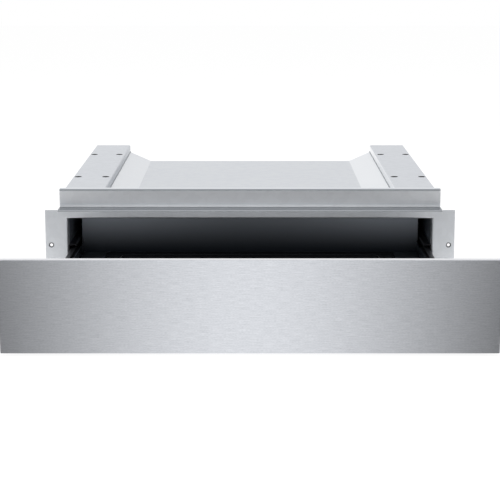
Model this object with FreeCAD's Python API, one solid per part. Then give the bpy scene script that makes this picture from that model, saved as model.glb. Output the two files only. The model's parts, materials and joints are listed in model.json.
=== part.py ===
# Built-in warming drawer for a 60 cm kitchen niche, with a plain steel front and no handle.
#
# Millimetres, +Z up, +X to the right of a person facing the front, +Y into the cabinet.
# The origin is on the underside of the case, in the middle of its width, in the mounting plane:
# the back face of the mounting frame, which lies against the front edges of the cabinet.
#
# Everything that moves is drawn with the drawer shut and is then pulled out by its own share of
# DRAWER_TRAVEL, so the stored pose is the fully open drawer.
import FreeCAD
import Part

import math
import os

from FreeCAD import Vector

# ---------------------------------------------------------------- main sizes
FRONT_WIDTH = 595.0  # standard front for a 60 cm niche
FRAME_WIDTH = FRONT_WIDTH - 5.0
CASE_WIDTH = FRAME_WIDTH - 52.0  # outside the side panels

# ---------------------------------------------------------------- case
CASE_DEPTH = 524.5  # mounting plane to the outside of the rear panel
CASE_HEIGHT = 131.5  # underside to the top of the support rails
CASE_SHEET = 1.0  # galvanised sheet
FOLD_RADIUS = 0.8  # inside radius of every fold
BASE_UPSTAND = 12.0  # height of the base plate's folded sides
BEAD_WIDTH = 16.0  # stiffening beads pressed up into the base
BEAD_LENGTH = 340.0
BEAD_RISE = 1.5
BEAD_PITCH = 150.0
BEAD_START = 80.0

# ---------------------------------------------------------------- mounting frame and crossbar
FRAME_SHEET = 1.5
FRAME_FOOT = 0.5  # gap between the frame's lower edge and the ground
FRAME_TOP = 105.0
OPENING_WIDTH = CASE_WIDTH - 13.0
OPENING_BOTTOM = 5.5
OPENING_TOP = 93.0
COLLAR_DEPTH = 20.0  # fold that runs back around the opening
LEDGE_DEPTH = 28.0  # front of the frame to the face of the crossbar
CROSSBAR_DEPTH = 12.0
FRAME_FLANGE = 8.0  # outward fold of the side panels, spot-welded behind the frame
FRAME_SCREW_RADIUS = 2.4
FRAME_SCREW_HEAD_RADIUS = 4.0
FRAME_SCREW_COUNTERSINK = 0.9
OPENING_EDGE = 2.0  # rounding where the collar folds back
FRAME_SCREW_INSET = 8.3  # from the frame's outer edge
FRAME_SCREW_HEIGHT = 54.2

# ---------------------------------------------------------------- top of the case
RAIL_WIDTH = 58.0
RAIL_SHEET = 1.5
RAIL_DROP = 11.0  # depth of the rail's inner web
RAIL_SEAT = 18.0  # inward fold of the side panel, under the rail
RAIL_SEAM = 1.0  # shadow gap between that web and the cover
LOCATING_HOLE_RADIUS = 5.0
LOCATING_HOLE_INSET = 6.6  # from the rail's outer edge
LOCATING_HOLE_SPACING_X = 42.0
LOCATING_HOLE_SPACING_Y = 255.0
LOCATING_HOLE_FIRST = 147.5  # mounting plane to the first pair
RECESS_WIDTH = CASE_WIDTH - 188.0  # flat width of the cover's sunken middle
COVER_LIP = 10.0  # folded edge of the cover inside the side panels
COVER_TONGUE = 16.0  # front edge of the cover, under the frame's ledge

# ---------------------------------------------------------------- cavity
LINER_SHEET = 0.8
LINER_CEILING = 95.2
LINER_CORNER = 3.0
BULKHEAD_PLANE = CASE_DEPTH - 46.0  # front face of the cavity's rear wall
BULKHEAD_FLANGE = 10.0
BLANKET_GAP = 0.3
SIDE_BLANKET_TOP = 91.0

# ---------------------------------------------------------------- rear panel
VENT_WIDTH = 3.0
VENT_LENGTH = 34.0
VENT_PITCH = 8.0
VENT_COUNT = 12
VENT_CENTRES = (-130.0, 30.0)
BASE_VENT_STARTS = (-200.0, 20.0)
BASE_VENT_FRONT = 30.0  # ends of the base's slots in front of the rear panel
BASE_VENT_REAR = 8.0
VENT_HEIGHT = 52.0
REAR_FLANGE = 12.0
TERMINAL_WINDOW_WIDTH = 70.0
TERMINAL_WINDOW_HEIGHT = 34.0
TERMINAL_X = CASE_WIDTH / 2 - 69.0
TERMINAL_WINDOW_BOTTOM = 12.0
TERMINAL_COVER_MARGIN = 9.0
GLAND_HEIGHT = 78.0
GLAND_BORE = 4.2
GLAND_THREAD = 8.0
GLAND_HEX = 11.0
GLAND_INSIDE = 10.0
GLAND_OUTSIDE = 15.0

# ---------------------------------------------------------------- telescopic rails
SLIDE_THICKNESS = 12.7
SLIDE_HEIGHT = 45.0
SLIDE_LENGTH = BULKHEAD_PLANE - 28.5
SLIDE_CENTRE = 31.5  # height of the rails' middle
SLIDE_START = 3.0
SLIDE_SHEET = 1.2
SLIDE_FOLD = 0.5
SLIDE_HOOK = 1.8  # turned-in end of each flange
SLIDE_SIDE_GAP = 1.7  # outer rail to the side of the drawer
MIDDLE_SHORTER = 20.0
INNER_SHORTER = 10.0
SLIDE_STEP = 2.0  # each inner rail starts this much further back
BALL_RADIUS = 2.0
BALL_PLAY = 0.2
BALL_COUNT = 8
BALL_FROM_DRAWER = 5.5  # balls' centres out from the drawer's side
CAGE_SHEET = 0.6
CAGE_PLAY = 0.3
CAGE_LENGTH = 160.0
CAGE_START = SLIDE_START + (SLIDE_LENGTH - CAGE_LENGTH) / 2
CAGE_HOLE_PLAY = 0.15
RIVET_RADIUS = 2.25
RIVET_HEAD_RADIUS = 4.0
RIVET_HEAD = 0.8
RIVET_PLAY = 0.05

# ---------------------------------------------------------------- drawer
DRAWER_TRAVEL = SLIDE_LENGTH - 55.0
PAN_SHEET = 0.8
PAN_UNDERSIDE = 14.5
PAN_SIDE_TOP = 46.0
PAN_HEM = 2.6
DECK_TOP = 30.0
DECK_PLAY = 0.2
DECK_FOOT = 0.5  # deck's folded sides above the pan's floor
REAR_WALL_PLANE = BULKHEAD_PLANE - 11.0  # front face of the drawer's rear wall when shut
REAR_WALL_TOP = 86.0
REAR_WALL_FOLD = 5.0
PAN_REAR_FLANGE = 12.0
GLASS_WIDTH = OPENING_WIDTH - 102.0
GLASS_DEPTH = REAR_WALL_PLANE - 59.5
GLASS_SHEET = 4.0
GLASS_PROUD = 0.5  # glass stands above the deck
GLASS_CORNER = 6.0
GLASS_EDGE = 0.6
GLASS_GAP = 1.0
GLASS_SEAL = 1.0
GLASS_REAR_MARGIN = 4.0
GLASS_LEDGE = 8.0
PAN_BLANKET = 3.0
PAN_BLANKET_MARGIN = 9.0

# ---------------------------------------------------------------- front
FRONT_HEIGHT = 114.0
FRONT_BOTTOM = 3.0
FRONT_SHEET = 1.0
FRONT_RIM = 8.0
FRONT_EDGE = 1.2  # rounding of the steel skin's edges
FRONT_PLAY = 0.2
BACKING_SHEET = 0.8
BACKING_DEPTH = 11.5
BACKING_WIDTH = FRONT_WIDTH - 23.0
BACKING_BOTTOM = 8.0
BACKING_TOP = 104.0
FRONT_GAP = 2.5  # backing to the frame when shut
SEAL_WIDTH = 5.0
SEAL_THICKNESS = 2.1
SEAL_OUTSET = 3.5  # opening's edge to the seal's inner edge
SEAL_FOOT = 9.0  # lower ends of the seal's sides
BRACKET_SHEET = 2.0
BRACKET_HEIGHT = 84.0
BRACKET_LENGTH = 66.0
BRACKET_FOOT = 14.0

# ---------------------------------------------------------------- heating
HEATER_RADIUS = 3.2
HEATER_PITCH = 60.0
HEATER_LEGS = 6
HEATER_FRONT = REAR_WALL_PLANE - 349.0
HEATER_REAR = REAR_WALL_PLANE - 69.0
HEATER_TAIL = 30.0
HEATER_PLAY = 0.05
SUPPORT_SHEET = 0.8
SUPPORT_WIDTH = 15.0
SUPPORT_COUNT = 3
SUPPORT_PITCH = 108.0
SUPPORT_OVERHANG = 20.0
CUTOUT_RADIUS = 8.5
CUTOUT_HEIGHT = 5.0
BULB_RADIUS = 2.5
BULB_LENGTH = 70.0
CAPILLARY_RADIUS = 0.8
CAPILLARY_LENGTH = 60.0

# ---------------------------------------------------------------- controls
CONTROL_WIDTH = 120.0
CONTROL_DEPTH = 37.0
CONTROL_HEIGHT = 28.0
CONTROL_RIGHT = 16.0  # gap between the housing and the side of the pan
CONTROL_WALL = 2.0
CONTROL_EDGE = 1.5
KNOB_RADIUS = 12.5
KNOB_HEIGHT = 13.0
KNOB_LIFT = 0.6
KNOB_FROM_LEFT = 28.0
KNOB_GRIP = 5.0
KNOB_FLUTES = 12
SHAFT_RADIUS = 3.0
SHAFT_PLAY = 0.05
BUSH_RADIUS = 5.0
THERMOSTAT_SIDE = 24.0
THERMOSTAT_HEIGHT = 15.0
SWITCH_FROM_KNOB = 42.0
SWITCH_LENGTH = 21.0
SWITCH_WIDTH = 15.0
SWITCH_BEZEL = 1.2
SWITCH_WALL = 2.2
SWITCH_DEPTH = 16.0
ROCKER_PLAY = 0.6
ROCKER_TILT = 7.0
LAMP_FROM_SWITCH = 24.0
LAMP_RADIUS = 3.0
LAMP_PLAY = 0.1

# ---------------------------------------------------------------- push latch
LATCH_HEIGHT = 62.0
PLUNGER_RADIUS = 3.5
PLUNGER_HEAD_RADIUS = 5.5
PLUNGER_HEAD = 2.0
PLUNGER_LENGTH = 24.0
PLUNGER_PLAY = 0.1
PLUNGER_GAP = 0.4
LATCH_WIDTH = 22.0
LATCH_DEPTH = 24.0
LATCH_BLOCK_HEIGHT = 18.0
LATCH_NOSE_RADIUS = 6.0
STRIKER_SIDE = 26.0
STRIKER_SHEET = 1.2

# ---------------------------------------------------------------- wiring
LEAD_X = 100.0
LEAD_RADIUS = 4.0
LEAD_DROP = 0.3  # air between the lead and the underside of the pan
LEAD_CLIP_Y = REAR_WALL_PLANE - 234.0
LEAD_CLIP_LENGTH = 12.0
LEAD_CLIP_WIDTH = 14.0
GROMMET_LIP = 2.0
GROMMET_RADIUS = 6.5
GROMMET_LIP_RADIUS = 8.0
WIRE_RADIUS = 2.4
WIRE_GAP = 0.8  # end of the wire short of the gland's bore
BLOCK_LENGTH = 44.0
BLOCK_DEPTH = 20.0
BLOCK_HEIGHT = 18.0

# ---------------------------------------------------------------- screws
SCREW_RADIUS = 1.9
SCREW_HEAD_RADIUS = 3.6
SCREW_HEAD = 2.0
SCREW_LENGTH = 4.5
SCREW_PLAY = 0.1
SCREW_INSET = 4.5  # crossbar's screws, from its rear edge

# ---------------------------------------------------------------- places worked out from the sizes
SIDE_X = CASE_WIDTH / 2 - CASE_SHEET  # inside of a side panel
SIDE_TOP = CASE_HEIGHT - RAIL_SHEET
REAR_Y = CASE_DEPTH - CASE_SHEET  # inside of the rear panel
FRAME_FRONT = -FRAME_SHEET
CROSSBAR_FACE = FRAME_FRONT + LEDGE_DEPTH
CROSSBAR_REAR = CROSSBAR_FACE + CROSSBAR_DEPTH
CROSSBAR_HALF = CASE_WIDTH / 2 + FRAME_FLANGE
LEDGE_UNDERSIDE = FRAME_TOP - FRAME_SHEET
RECESS_FLOOR = LEDGE_UNDERSIDE  # top of the cover's sunken middle
RAIL_INNER_X = CASE_WIDTH / 2 - RAIL_WIDTH
SHELF_TOP = CASE_HEIGHT - RAIL_DROP - RAIL_SEAM  # the cover's flat sides, under the rails
OPENING_X = OPENING_WIDTH / 2
DRAWER_X = OPENING_X - SLIDE_THICKNESS  # outside of the pan
LINER_FRONT = FRAME_FRONT + COLLAR_DEPTH
CEILING_TOP = LINER_CEILING + LINER_SHEET
BACKING_REAR = FRAME_FRONT - FRONT_GAP
RIM_REAR = BACKING_REAR - BACKING_DEPTH
FRONT_FACE = RIM_REAR - FRONT_RIM
PAN_FLOOR = PAN_UNDERSIDE + PAN_SHEET
DECK_FRONT = BACKING_REAR + PAN_SHEET
GLASS_TOP = DECK_TOP + GLASS_PROUD
GLASS_UNDERSIDE = GLASS_TOP - GLASS_SHEET
GLASS_REAR = REAR_WALL_PLANE - GLASS_REAR_MARGIN
GLASS_FRONT = GLASS_REAR - GLASS_DEPTH
BLANKET_TOP = PAN_FLOOR + PAN_BLANKET
SUPPORT_TOP = BLANKET_TOP + SUPPORT_SHEET
CONTROL_TOP = DECK_TOP + CONTROL_HEIGHT
CONTROL_X1 = DRAWER_X - PAN_SHEET - CONTROL_RIGHT
CONTROL_X0 = CONTROL_X1 - CONTROL_WIDTH
CONTROL_Y = DECK_FRONT + CONTROL_DEPTH / 2
KNOB_X = CONTROL_X0 + KNOB_FROM_LEFT
SWITCH_X = KNOB_X + SWITCH_FROM_KNOB
LAMP_X = SWITCH_X + LAMP_FROM_SWITCH
STRIKER_REAR = REAR_WALL_PLANE + PAN_SHEET + STRIKER_SHEET
PLUNGER_TIP = STRIKER_REAR + PLUNGER_GAP
LEAD_HEIGHT = PAN_UNDERSIDE - LEAD_DROP - LEAD_RADIUS
MIDDLE_SHARE = 0.5  # each piece's part of the drawer's travel
OUTER_CAGE_SHARE = 0.25
INNER_CAGE_SHARE = 0.75

parts = {}

# Turns a drawing plane so that its (u, v) lie square to an axis.
PLANES = {
    "x": FreeCAD.Rotation(Vector(1, 1, 1), 120),
    "y": FreeCAD.Rotation(Vector(1, 0, 0), 90),
    "z": FreeCAD.Rotation(),
}


# ---------------------------------------------------------------- drawing tools
def point(axis, u, v, w=0.0):
    """Place (u, v) in the plane square to an axis, at w along it."""
    return {"x": Vector(w, u, v), "y": Vector(u, w, v), "z": Vector(u, v, w)}[axis]


def block(x0, x1, y0, y1, z0, z1):
    """Box between two corners."""
    return Part.makeBox(x1 - x0, y1 - y0, z1 - z0, Vector(x0, y0, z0))


def prism(axis, outline, start, end):
    """Straight-sided solid: an outline of (u, v) points, extruded along an axis."""
    corners = [point(axis, u, v, start) for u, v in outline]
    face = Part.Face(Part.makePolygon(corners + corners[:1]))
    return face.extrude(point(axis, 0, 0, end - start))


def rod(axis, u, v, radius, start, end):
    """Round bar along an axis."""
    return Part.makeCylinder(radius, end - start, point(axis, u, v, start), point(axis, 0, 0, 1))


def cone(axis, u, v, radius_start, radius_end, start, end):
    """Tapered round bar along an axis."""
    base = point(axis, u, v, start)
    return Part.makeCone(radius_start, radius_end, end - start, base, point(axis, 0, 0, 1))


def edges_along(shape, axis):
    """Straight edges that run along an axis."""
    found = []
    for edge in shape.Edges:
        run = edge.Vertexes[-1].Point - edge.Vertexes[0].Point
        if run.Length > 1e-6 and abs(run.dot(point(axis, 0, 0, 1))) > 0.999 * run.Length:
            found.append(edge)
    return found


def edges_in_box(shape, x0, x1, y0, y1, z0, z1):
    """Edges that lie wholly inside a box."""
    room = FreeCAD.BoundBox(x0, y0, z0, x1, y1, z1)
    room.enlarge(1e-4)
    return [edge for edge in shape.Edges if room.isInside(edge.BoundBox)]


def edges_at(shape, axis, place):
    """Edges that lie wholly in the plane square to an axis at a place along it."""
    found = []
    for edge in shape.Edges:
        size = edge.BoundBox
        low = {"x": size.XMin, "y": size.YMin, "z": size.ZMin}[axis]
        high = {"x": size.XMax, "y": size.YMax, "z": size.ZMax}[axis]
        if abs(low - place) < 1e-4 and abs(high - place) < 1e-4:
            found.append(edge)
    return found


def rounded_block(axis, x0, x1, y0, y1, z0, z1, radius):
    """Box whose four edges along an axis are rounded."""
    solid = block(x0, x1, y0, y1, z0, z1)
    return solid.makeFillet(radius, edges_along(solid, axis))


def side_of_sheet(path, offset, bends):
    """Edges of one face of a bent sheet: the path moved sideways, with an arc at each bend."""
    runs = [(path[i + 1] - path[i]).normalize() for i in range(len(path) - 1)]
    lefts = [Vector(-run.y, run.x, 0) for run in runs]
    edges = []
    start = path[0] + lefts[0] * offset
    for i in range(1, len(path) - 1):
        turn = math.atan2(runs[i - 1].cross(runs[i]).z, runs[i - 1].dot(runs[i]))
        side = math.copysign(1.0, turn)
        setback = bends[i] * math.tan(abs(turn) / 2)
        centre = path[i] - runs[i - 1] * setback + lefts[i - 1] * (side * bends[i])
        reach = side * (bends[i] - side * offset)
        first = centre - lefts[i - 1] * reach
        last = centre - lefts[i] * reach
        middle = centre - (lefts[i - 1] + lefts[i]).normalize() * reach
        edges.append(Part.LineSegment(start, first).toShape())
        edges.append(Part.Arc(first, middle, last).toShape())
        start = last
    edges.append(Part.LineSegment(start, path[-1] + lefts[-1] * offset).toShape())
    return edges


def bent_sheet(axis, path, thickness, start, end, metal="left", inside=FOLD_RADIUS):
    """Folded sheet. The path is one face of it, and the metal lies on the named side of the path."""
    corners = [Vector(u, v, 0) for u, v in path]
    metal_side = 1.0 if metal == "left" else -1.0
    bends = [0.0] * len(corners)
    for i in range(1, len(corners) - 1):
        turn = (corners[i] - corners[i - 1]).cross(corners[i + 1] - corners[i]).z
        bends[i] = inside + thickness if turn * metal_side > 0 else inside
    near = side_of_sheet(corners, 0.0, bends)
    far = side_of_sheet(corners, metal_side * thickness, bends)
    caps = [
        Part.LineSegment(near[0].Vertexes[0].Point, far[0].Vertexes[0].Point).toShape(),
        Part.LineSegment(near[-1].Vertexes[-1].Point, far[-1].Vertexes[-1].Point).toShape(),
    ]
    face = Part.Face(Part.Wire(Part.__sortEdges__(near + far + caps)))
    face.Placement = FreeCAD.Placement(point(axis, 0, 0, start), PLANES[axis])
    return face.extrude(point(axis, 0, 0, end - start))


def mirrored(shape):
    """The same piece on the other side of the middle plane."""
    return shape.mirror(Vector(0, 0, 0), Vector(1, 0, 0))


def moved(shape, dx=0.0, dy=0.0, dz=0.0):
    """A copy moved by a distance."""
    copy = shape.copy()
    copy.translate(Vector(dx, dy, dz))
    return copy


def both(shape):
    """A piece and its mirror image."""
    return [shape, mirrored(shape)]


def fused(shapes):
    """One solid from several that touch or overlap."""
    return shapes[0].fuse(shapes[1:]).removeSplitter()


def tube(points, radius):
    """Round bar along a line of points, with ball-shaped corners."""
    pieces = []
    for first, last in zip(points, points[1:]):
        run = last - first
        pieces.append(Part.makeCylinder(radius, run.Length, first, run))
    pieces += [Part.makeSphere(radius, corner) for corner in points[1:-1]]
    return fused(pieces)


def keep(name, shape, share=0.0):
    """Files a piece under its name, pulled out by its share of the drawer's travel."""
    parts[name] = moved(shape, dy=-DRAWER_TRAVEL * share)


def keep_pair(name, right, share=0.0):
    """Files a right-hand piece and its left-hand twin."""
    keep("right_" + name, right, share)
    keep("left_" + name, mirrored(right), share)


def pan_head_screw(seat, outward, length=SCREW_LENGTH):
    """Cross-slot screw with the underside of its head on the point `seat`."""
    head = Part.makeCylinder(SCREW_HEAD_RADIUS, SCREW_HEAD)
    head = head.makeFillet(SCREW_HEAD * 0.6, edges_at(head, "z", SCREW_HEAD))
    long, thin = SCREW_HEAD_RADIUS * 0.5, SCREW_HEAD_RADIUS * 0.12
    slots = [block(-long, long, -thin, thin, SCREW_HEAD / 2, SCREW_HEAD)]
    slots.append(block(-thin, thin, -long, long, SCREW_HEAD / 2, SCREW_HEAD))
    shank = Part.makeCylinder(SCREW_RADIUS, length, Vector(0, 0, -length))
    solid = shank.fuse(head).cut(slots).removeSplitter()
    solid.Placement = FreeCAD.Placement(seat, FreeCAD.Rotation(Vector(0, 0, 1), outward))
    return solid


def rivet(seat, outward, length):
    """Flat-headed rivet with the underside of its head on the point `seat`."""
    head = Part.makeCone(RIVET_HEAD_RADIUS, RIVET_HEAD_RADIUS - 0.6, RIVET_HEAD)
    solid = Part.makeCylinder(RIVET_RADIUS, length, Vector(0, 0, -length)).fuse(head).removeSplitter()
    solid.Placement = FreeCAD.Placement(seat, FreeCAD.Rotation(Vector(0, 0, 1), outward))
    return solid


# ---------------------------------------------------------------- places of the screws and rivets
SIDE_SCREWS = [(CASE_DEPTH * share, z) for z in (SHELF_TOP - 5.5, BASE_UPSTAND / 2 + CASE_SHEET)
               for share in (0.155, 0.535, 0.915)]
SIDE_SCREWS += [(REAR_Y - REAR_FLANGE / 2, z) for z in (32.0, 88.0)]
CROSSBAR_SCREWS = [OPENING_X * share for share in (-0.7, 0.0, 0.7)]
TERMINAL_SCREWS = [(TERMINAL_X + side * (TERMINAL_WINDOW_WIDTH / 2 + TERMINAL_COVER_MARGIN / 2), z)
                   for side in (-1, 1) for z in (16.0, 42.0)]
BRACKET_SCREWS = (40.0, 74.0)
BRACKET_SCREW_X = DRAWER_X - PAN_SHEET - BRACKET_FOOT / 2 - 1.0
OUTER_RIVETS = [SLIDE_START + SLIDE_LENGTH * share for share in (0.06, 0.73, 0.97)]
INNER_RIVETS = [SLIDE_START + SLIDE_LENGTH * share for share in (0.05, 0.48, 0.95)]


# ---------------------------------------------------------------- mounting frame and crossbar
def front_frame():
    """Frame screwed to the cabinet, with a ledge folded back above and a collar around the opening."""
    half = FRAME_WIDTH / 2
    relief = FRAME_TOP - 5.0
    ear = CROSSBAR_HALF + 1.0
    plate = block(-half, half, FRAME_FRONT, 0, FRAME_FOOT, relief)
    ears = both(block(ear, half, FRAME_FRONT, 0, relief, FRAME_TOP))
    profile = [(FRAME_FRONT, relief), (FRAME_FRONT, FRAME_TOP), (CROSSBAR_REAR, FRAME_TOP)]
    ledge = bent_sheet("x", profile, FRAME_SHEET, -CROSSBAR_HALF, CROSSBAR_HALF, "right")
    reach = OPENING_X + FRAME_SHEET
    collar = block(-reach, reach, FRAME_FRONT, LINER_FRONT,
                   OPENING_BOTTOM - FRAME_SHEET, OPENING_TOP + FRAME_SHEET)
    opening = block(-OPENING_X, OPENING_X, FRAME_FRONT, LINER_FRONT, OPENING_BOTTOM, OPENING_TOP)
    frame = fused([plate, ledge, collar] + ears).cut(opening)
    lip = edges_in_box(frame, -OPENING_X, OPENING_X, FRAME_FRONT, FRAME_FRONT, OPENING_BOTTOM, OPENING_TOP)
    frame = frame.makeFillet(OPENING_EDGE, lip)
    holes = []
    for x in (-half + FRAME_SCREW_INSET, half - FRAME_SCREW_INSET):
        sink = FRAME_FRONT + FRAME_SCREW_COUNTERSINK
        holes.append(rod("y", x, FRAME_SCREW_HEIGHT, FRAME_SCREW_RADIUS, FRAME_FRONT, 0))
        holes.append(cone("y", x, FRAME_SCREW_HEIGHT, FRAME_SCREW_HEAD_RADIUS, FRAME_SCREW_RADIUS,
                          FRAME_FRONT, sink))
    holes += [rod("z", x, CROSSBAR_REAR - SCREW_INSET, SCREW_RADIUS + SCREW_PLAY, LEDGE_UNDERSIDE, FRAME_TOP)
              for x in CROSSBAR_SCREWS]
    return frame.cut(holes)


def front_crossbar():
    """C-shaped bar that stands on the frame's ledge and closes the fronts of the rails."""
    profile = [(CROSSBAR_REAR, FRAME_TOP), (CROSSBAR_FACE, FRAME_TOP),
               (CROSSBAR_FACE, CASE_HEIGHT), (CROSSBAR_REAR, CASE_HEIGHT)]
    bar = bent_sheet("x", profile, RAIL_SHEET, -CROSSBAR_HALF, CROSSBAR_HALF, "right", inside=1.5)
    top = FRAME_TOP + RAIL_SHEET
    return bar.cut([rod("z", x, CROSSBAR_REAR - SCREW_INSET, SCREW_RADIUS + SCREW_PLAY, FRAME_TOP, top)
                    for x in CROSSBAR_SCREWS])


# ---------------------------------------------------------------- case
def base_plate():
    """Floor of the case, folded up at the sides, with pressed beads and cooling slots."""
    top = BASE_UPSTAND + CASE_SHEET
    profile = [(-SIDE_X, top), (-SIDE_X, 0), (SIDE_X, 0), (SIDE_X, top)]
    plate = bent_sheet("y", profile, CASE_SHEET, 0, CASE_DEPTH)
    inner, outer = BEAD_WIDTH - 2 * CASE_SHEET, BEAD_WIDTH
    beads, hollows = [], []
    for x in (-BEAD_PITCH, 0.0, BEAD_PITCH):
        beads.append(stadium(x, BEAD_START, BEAD_LENGTH, outer, CASE_SHEET, CASE_SHEET + BEAD_RISE))
        hollows.append(stadium(x, BEAD_START, BEAD_LENGTH, inner, 0, BEAD_RISE))
    plate = fused([plate] + beads).cut(hollows)
    slots = [block(x, x + VENT_WIDTH, REAR_Y - BASE_VENT_FRONT, REAR_Y - BASE_VENT_REAR, 0, CASE_SHEET)
             for x in [start + i * VENT_PITCH for start in BASE_VENT_STARTS for i in range(VENT_COUNT)]]
    corner_x = SIDE_X - CASE_SHEET - FOLD_RADIUS - 0.2
    corners = both(block(corner_x, SIDE_X, REAR_Y - REAR_FLANGE, CASE_DEPTH, CASE_SHEET, 20))
    return plate.cut(slots + corners + side_screw_holes())


def stadium(x, start, length, width, z0, z1):
    """Long raised bar with round ends, along Y."""
    half = width / 2
    bar = block(x - half, x + half, start + half, start + length - half, z0, z1)
    ends = [rod("z", x, start + half, half, z0, z1), rod("z", x, start + length - half, half, z0, z1)]
    return fused([bar] + ends)


def side_screw_holes():
    """Cutters for the screws through both sides of the case."""
    holes = []
    for y, z in SIDE_SCREWS:
        holes += both(rod("x", y, z, SCREW_RADIUS + SCREW_PLAY, SIDE_X - 3, CASE_WIDTH / 2 + 1))
    return holes


def rivet_hole(y, x0, x1):
    """Cutter for one rivet of a telescopic rail, on the right-hand side."""
    return rod("x", y, SLIDE_CENTRE, RIVET_RADIUS + RIVET_PLAY, x0, x1)


def locating_holes():
    """Cutters for the four holes in the right-hand rail and the fold beneath it."""
    outer = CASE_WIDTH / 2 - LOCATING_HOLE_INSET
    return [rod("z", x, y, LOCATING_HOLE_RADIUS, SIDE_TOP - 5, CASE_HEIGHT)
            for x in (outer, outer - LOCATING_HOLE_SPACING_X)
            for y in (LOCATING_HOLE_FIRST, LOCATING_HOLE_FIRST + LOCATING_HOLE_SPACING_Y)]


def side_panel():
    """Right side of the case: a seat for the rail above, and a flange behind the mounting frame."""
    outer = CASE_WIDTH / 2
    profile = [(outer - RAIL_SEAT, SIDE_TOP), (outer, SIDE_TOP), (outer, 0)]
    sheet = bent_sheet("y", profile, CASE_SHEET, 0, CASE_DEPTH, "right")
    below_fold = LEDGE_UNDERSIDE - FOLD_RADIUS - 0.2
    notches = [block(0, outer + 1, -1, CROSSBAR_REAR, LEDGE_UNDERSIDE, CASE_HEIGHT),
               block(0, outer + 1, -1, CASE_SHEET, below_fold, CASE_HEIGHT)]
    flange = block(SIDE_X, CROSSBAR_HALF, 0, CASE_SHEET, FRAME_FOOT, below_fold)
    return fused([sheet.cut(notches), flange]).cut(side_screw_holes() + locating_holes())


def support_rail():
    """Right rail that carries the appliance above: a flat top with a web down its inner edge."""
    profile = [(RAIL_INNER_X, CASE_HEIGHT - RAIL_DROP), (RAIL_INNER_X, CASE_HEIGHT),
               (CASE_WIDTH / 2, CASE_HEIGHT)]
    rail = bent_sheet("y", profile, RAIL_SHEET, CROSSBAR_REAR, CASE_DEPTH, "right")
    return rail.cut(locating_holes())


def top_cover():
    """Roof of the case: flat shelves under the rails, and a sunken middle between sloping sides."""
    middle = RECESS_WIDTH / 2
    right_half = [(middle, RECESS_FLOOR), (RAIL_INNER_X, SHELF_TOP), (SIDE_X, SHELF_TOP),
                  (SIDE_X, SHELF_TOP - COVER_LIP)]
    left_half = [(-u, v) for u, v in reversed(right_half)]
    sheet = bent_sheet("y", left_half + right_half, CASE_SHEET, CROSSBAR_REAR, CASE_DEPTH, "right")
    tongue = block(5 - middle, middle - 5, CROSSBAR_REAR - COVER_TONGUE, CROSSBAR_REAR,
                   RECESS_FLOOR - CASE_SHEET, RECESS_FLOOR)
    corners = both(block(SIDE_X - CASE_SHEET - 0.2, SIDE_X, REAR_Y - REAR_FLANGE, CASE_DEPTH,
                         SHELF_TOP - COVER_LIP, SHELF_TOP - CASE_SHEET))
    return fused([sheet, tongue]).cut(corners + side_screw_holes())


def rear_panel(cover):
    """Back of the case, cut to the cover's outline, with vents, a terminal window and a cable entry."""
    profile = [(-SIDE_X, REAR_Y - REAR_FLANGE), (-SIDE_X, CASE_DEPTH), (SIDE_X, CASE_DEPTH),
               (SIDE_X, REAR_Y - REAR_FLANGE)]
    sheet = bent_sheet("z", profile, CASE_SHEET, CASE_SHEET, SHELF_TOP - CASE_SHEET, "right")
    low, high = RECESS_FLOOR - CASE_SHEET / 2, SHELF_TOP - CASE_SHEET / 2
    middle = RECESS_WIDTH / 2
    outline = [(-SIDE_X, 0), (SIDE_X, 0), (SIDE_X, high), (RAIL_INNER_X, high), (middle, low),
               (-middle, low), (-RAIL_INNER_X, high), (-SIDE_X, high)]
    sheet = sheet.common(prism("y", outline, REAR_Y - REAR_FLANGE, CASE_DEPTH)).cut(cover)
    vents = []
    for centre in VENT_CENTRES:
        first = centre - VENT_PITCH * (VENT_COUNT - 1) / 2 - VENT_WIDTH / 2
        for i in range(VENT_COUNT):
            x = first + i * VENT_PITCH
            vents.append(rounded_block("y", x, x + VENT_WIDTH, REAR_Y, CASE_DEPTH,
                                       VENT_HEIGHT - VENT_LENGTH / 2, VENT_HEIGHT + VENT_LENGTH / 2,
                                       VENT_WIDTH * 0.45))
    half = TERMINAL_WINDOW_WIDTH / 2
    window = block(TERMINAL_X - half, TERMINAL_X + half, REAR_Y, CASE_DEPTH, TERMINAL_WINDOW_BOTTOM,
                   TERMINAL_WINDOW_BOTTOM + TERMINAL_WINDOW_HEIGHT)
    entry = rod("y", TERMINAL_X, GLAND_HEIGHT, GLAND_THREAD, REAR_Y, CASE_DEPTH)
    holes = [rod("y", x, z, SCREW_RADIUS + SCREW_PLAY, REAR_Y, CASE_DEPTH) for x, z in TERMINAL_SCREWS]
    return sheet.cut(vents + [window, entry] + holes + side_screw_holes())


def cavity_liner():
    """Black roof and sides of the cavity, in one folded sheet."""
    profile = [(-OPENING_X, CASE_SHEET), (-OPENING_X, LINER_CEILING), (OPENING_X, LINER_CEILING),
               (OPENING_X, CASE_SHEET)]
    liner = bent_sheet("y", profile, LINER_SHEET, LINER_FRONT, BULKHEAD_PLANE, inside=LINER_CORNER)
    holes = []
    for y in OUTER_RIVETS:
        holes += both(rivet_hole(y, OPENING_X, OPENING_X + LINER_SHEET))
    return liner.cut(holes)


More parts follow.
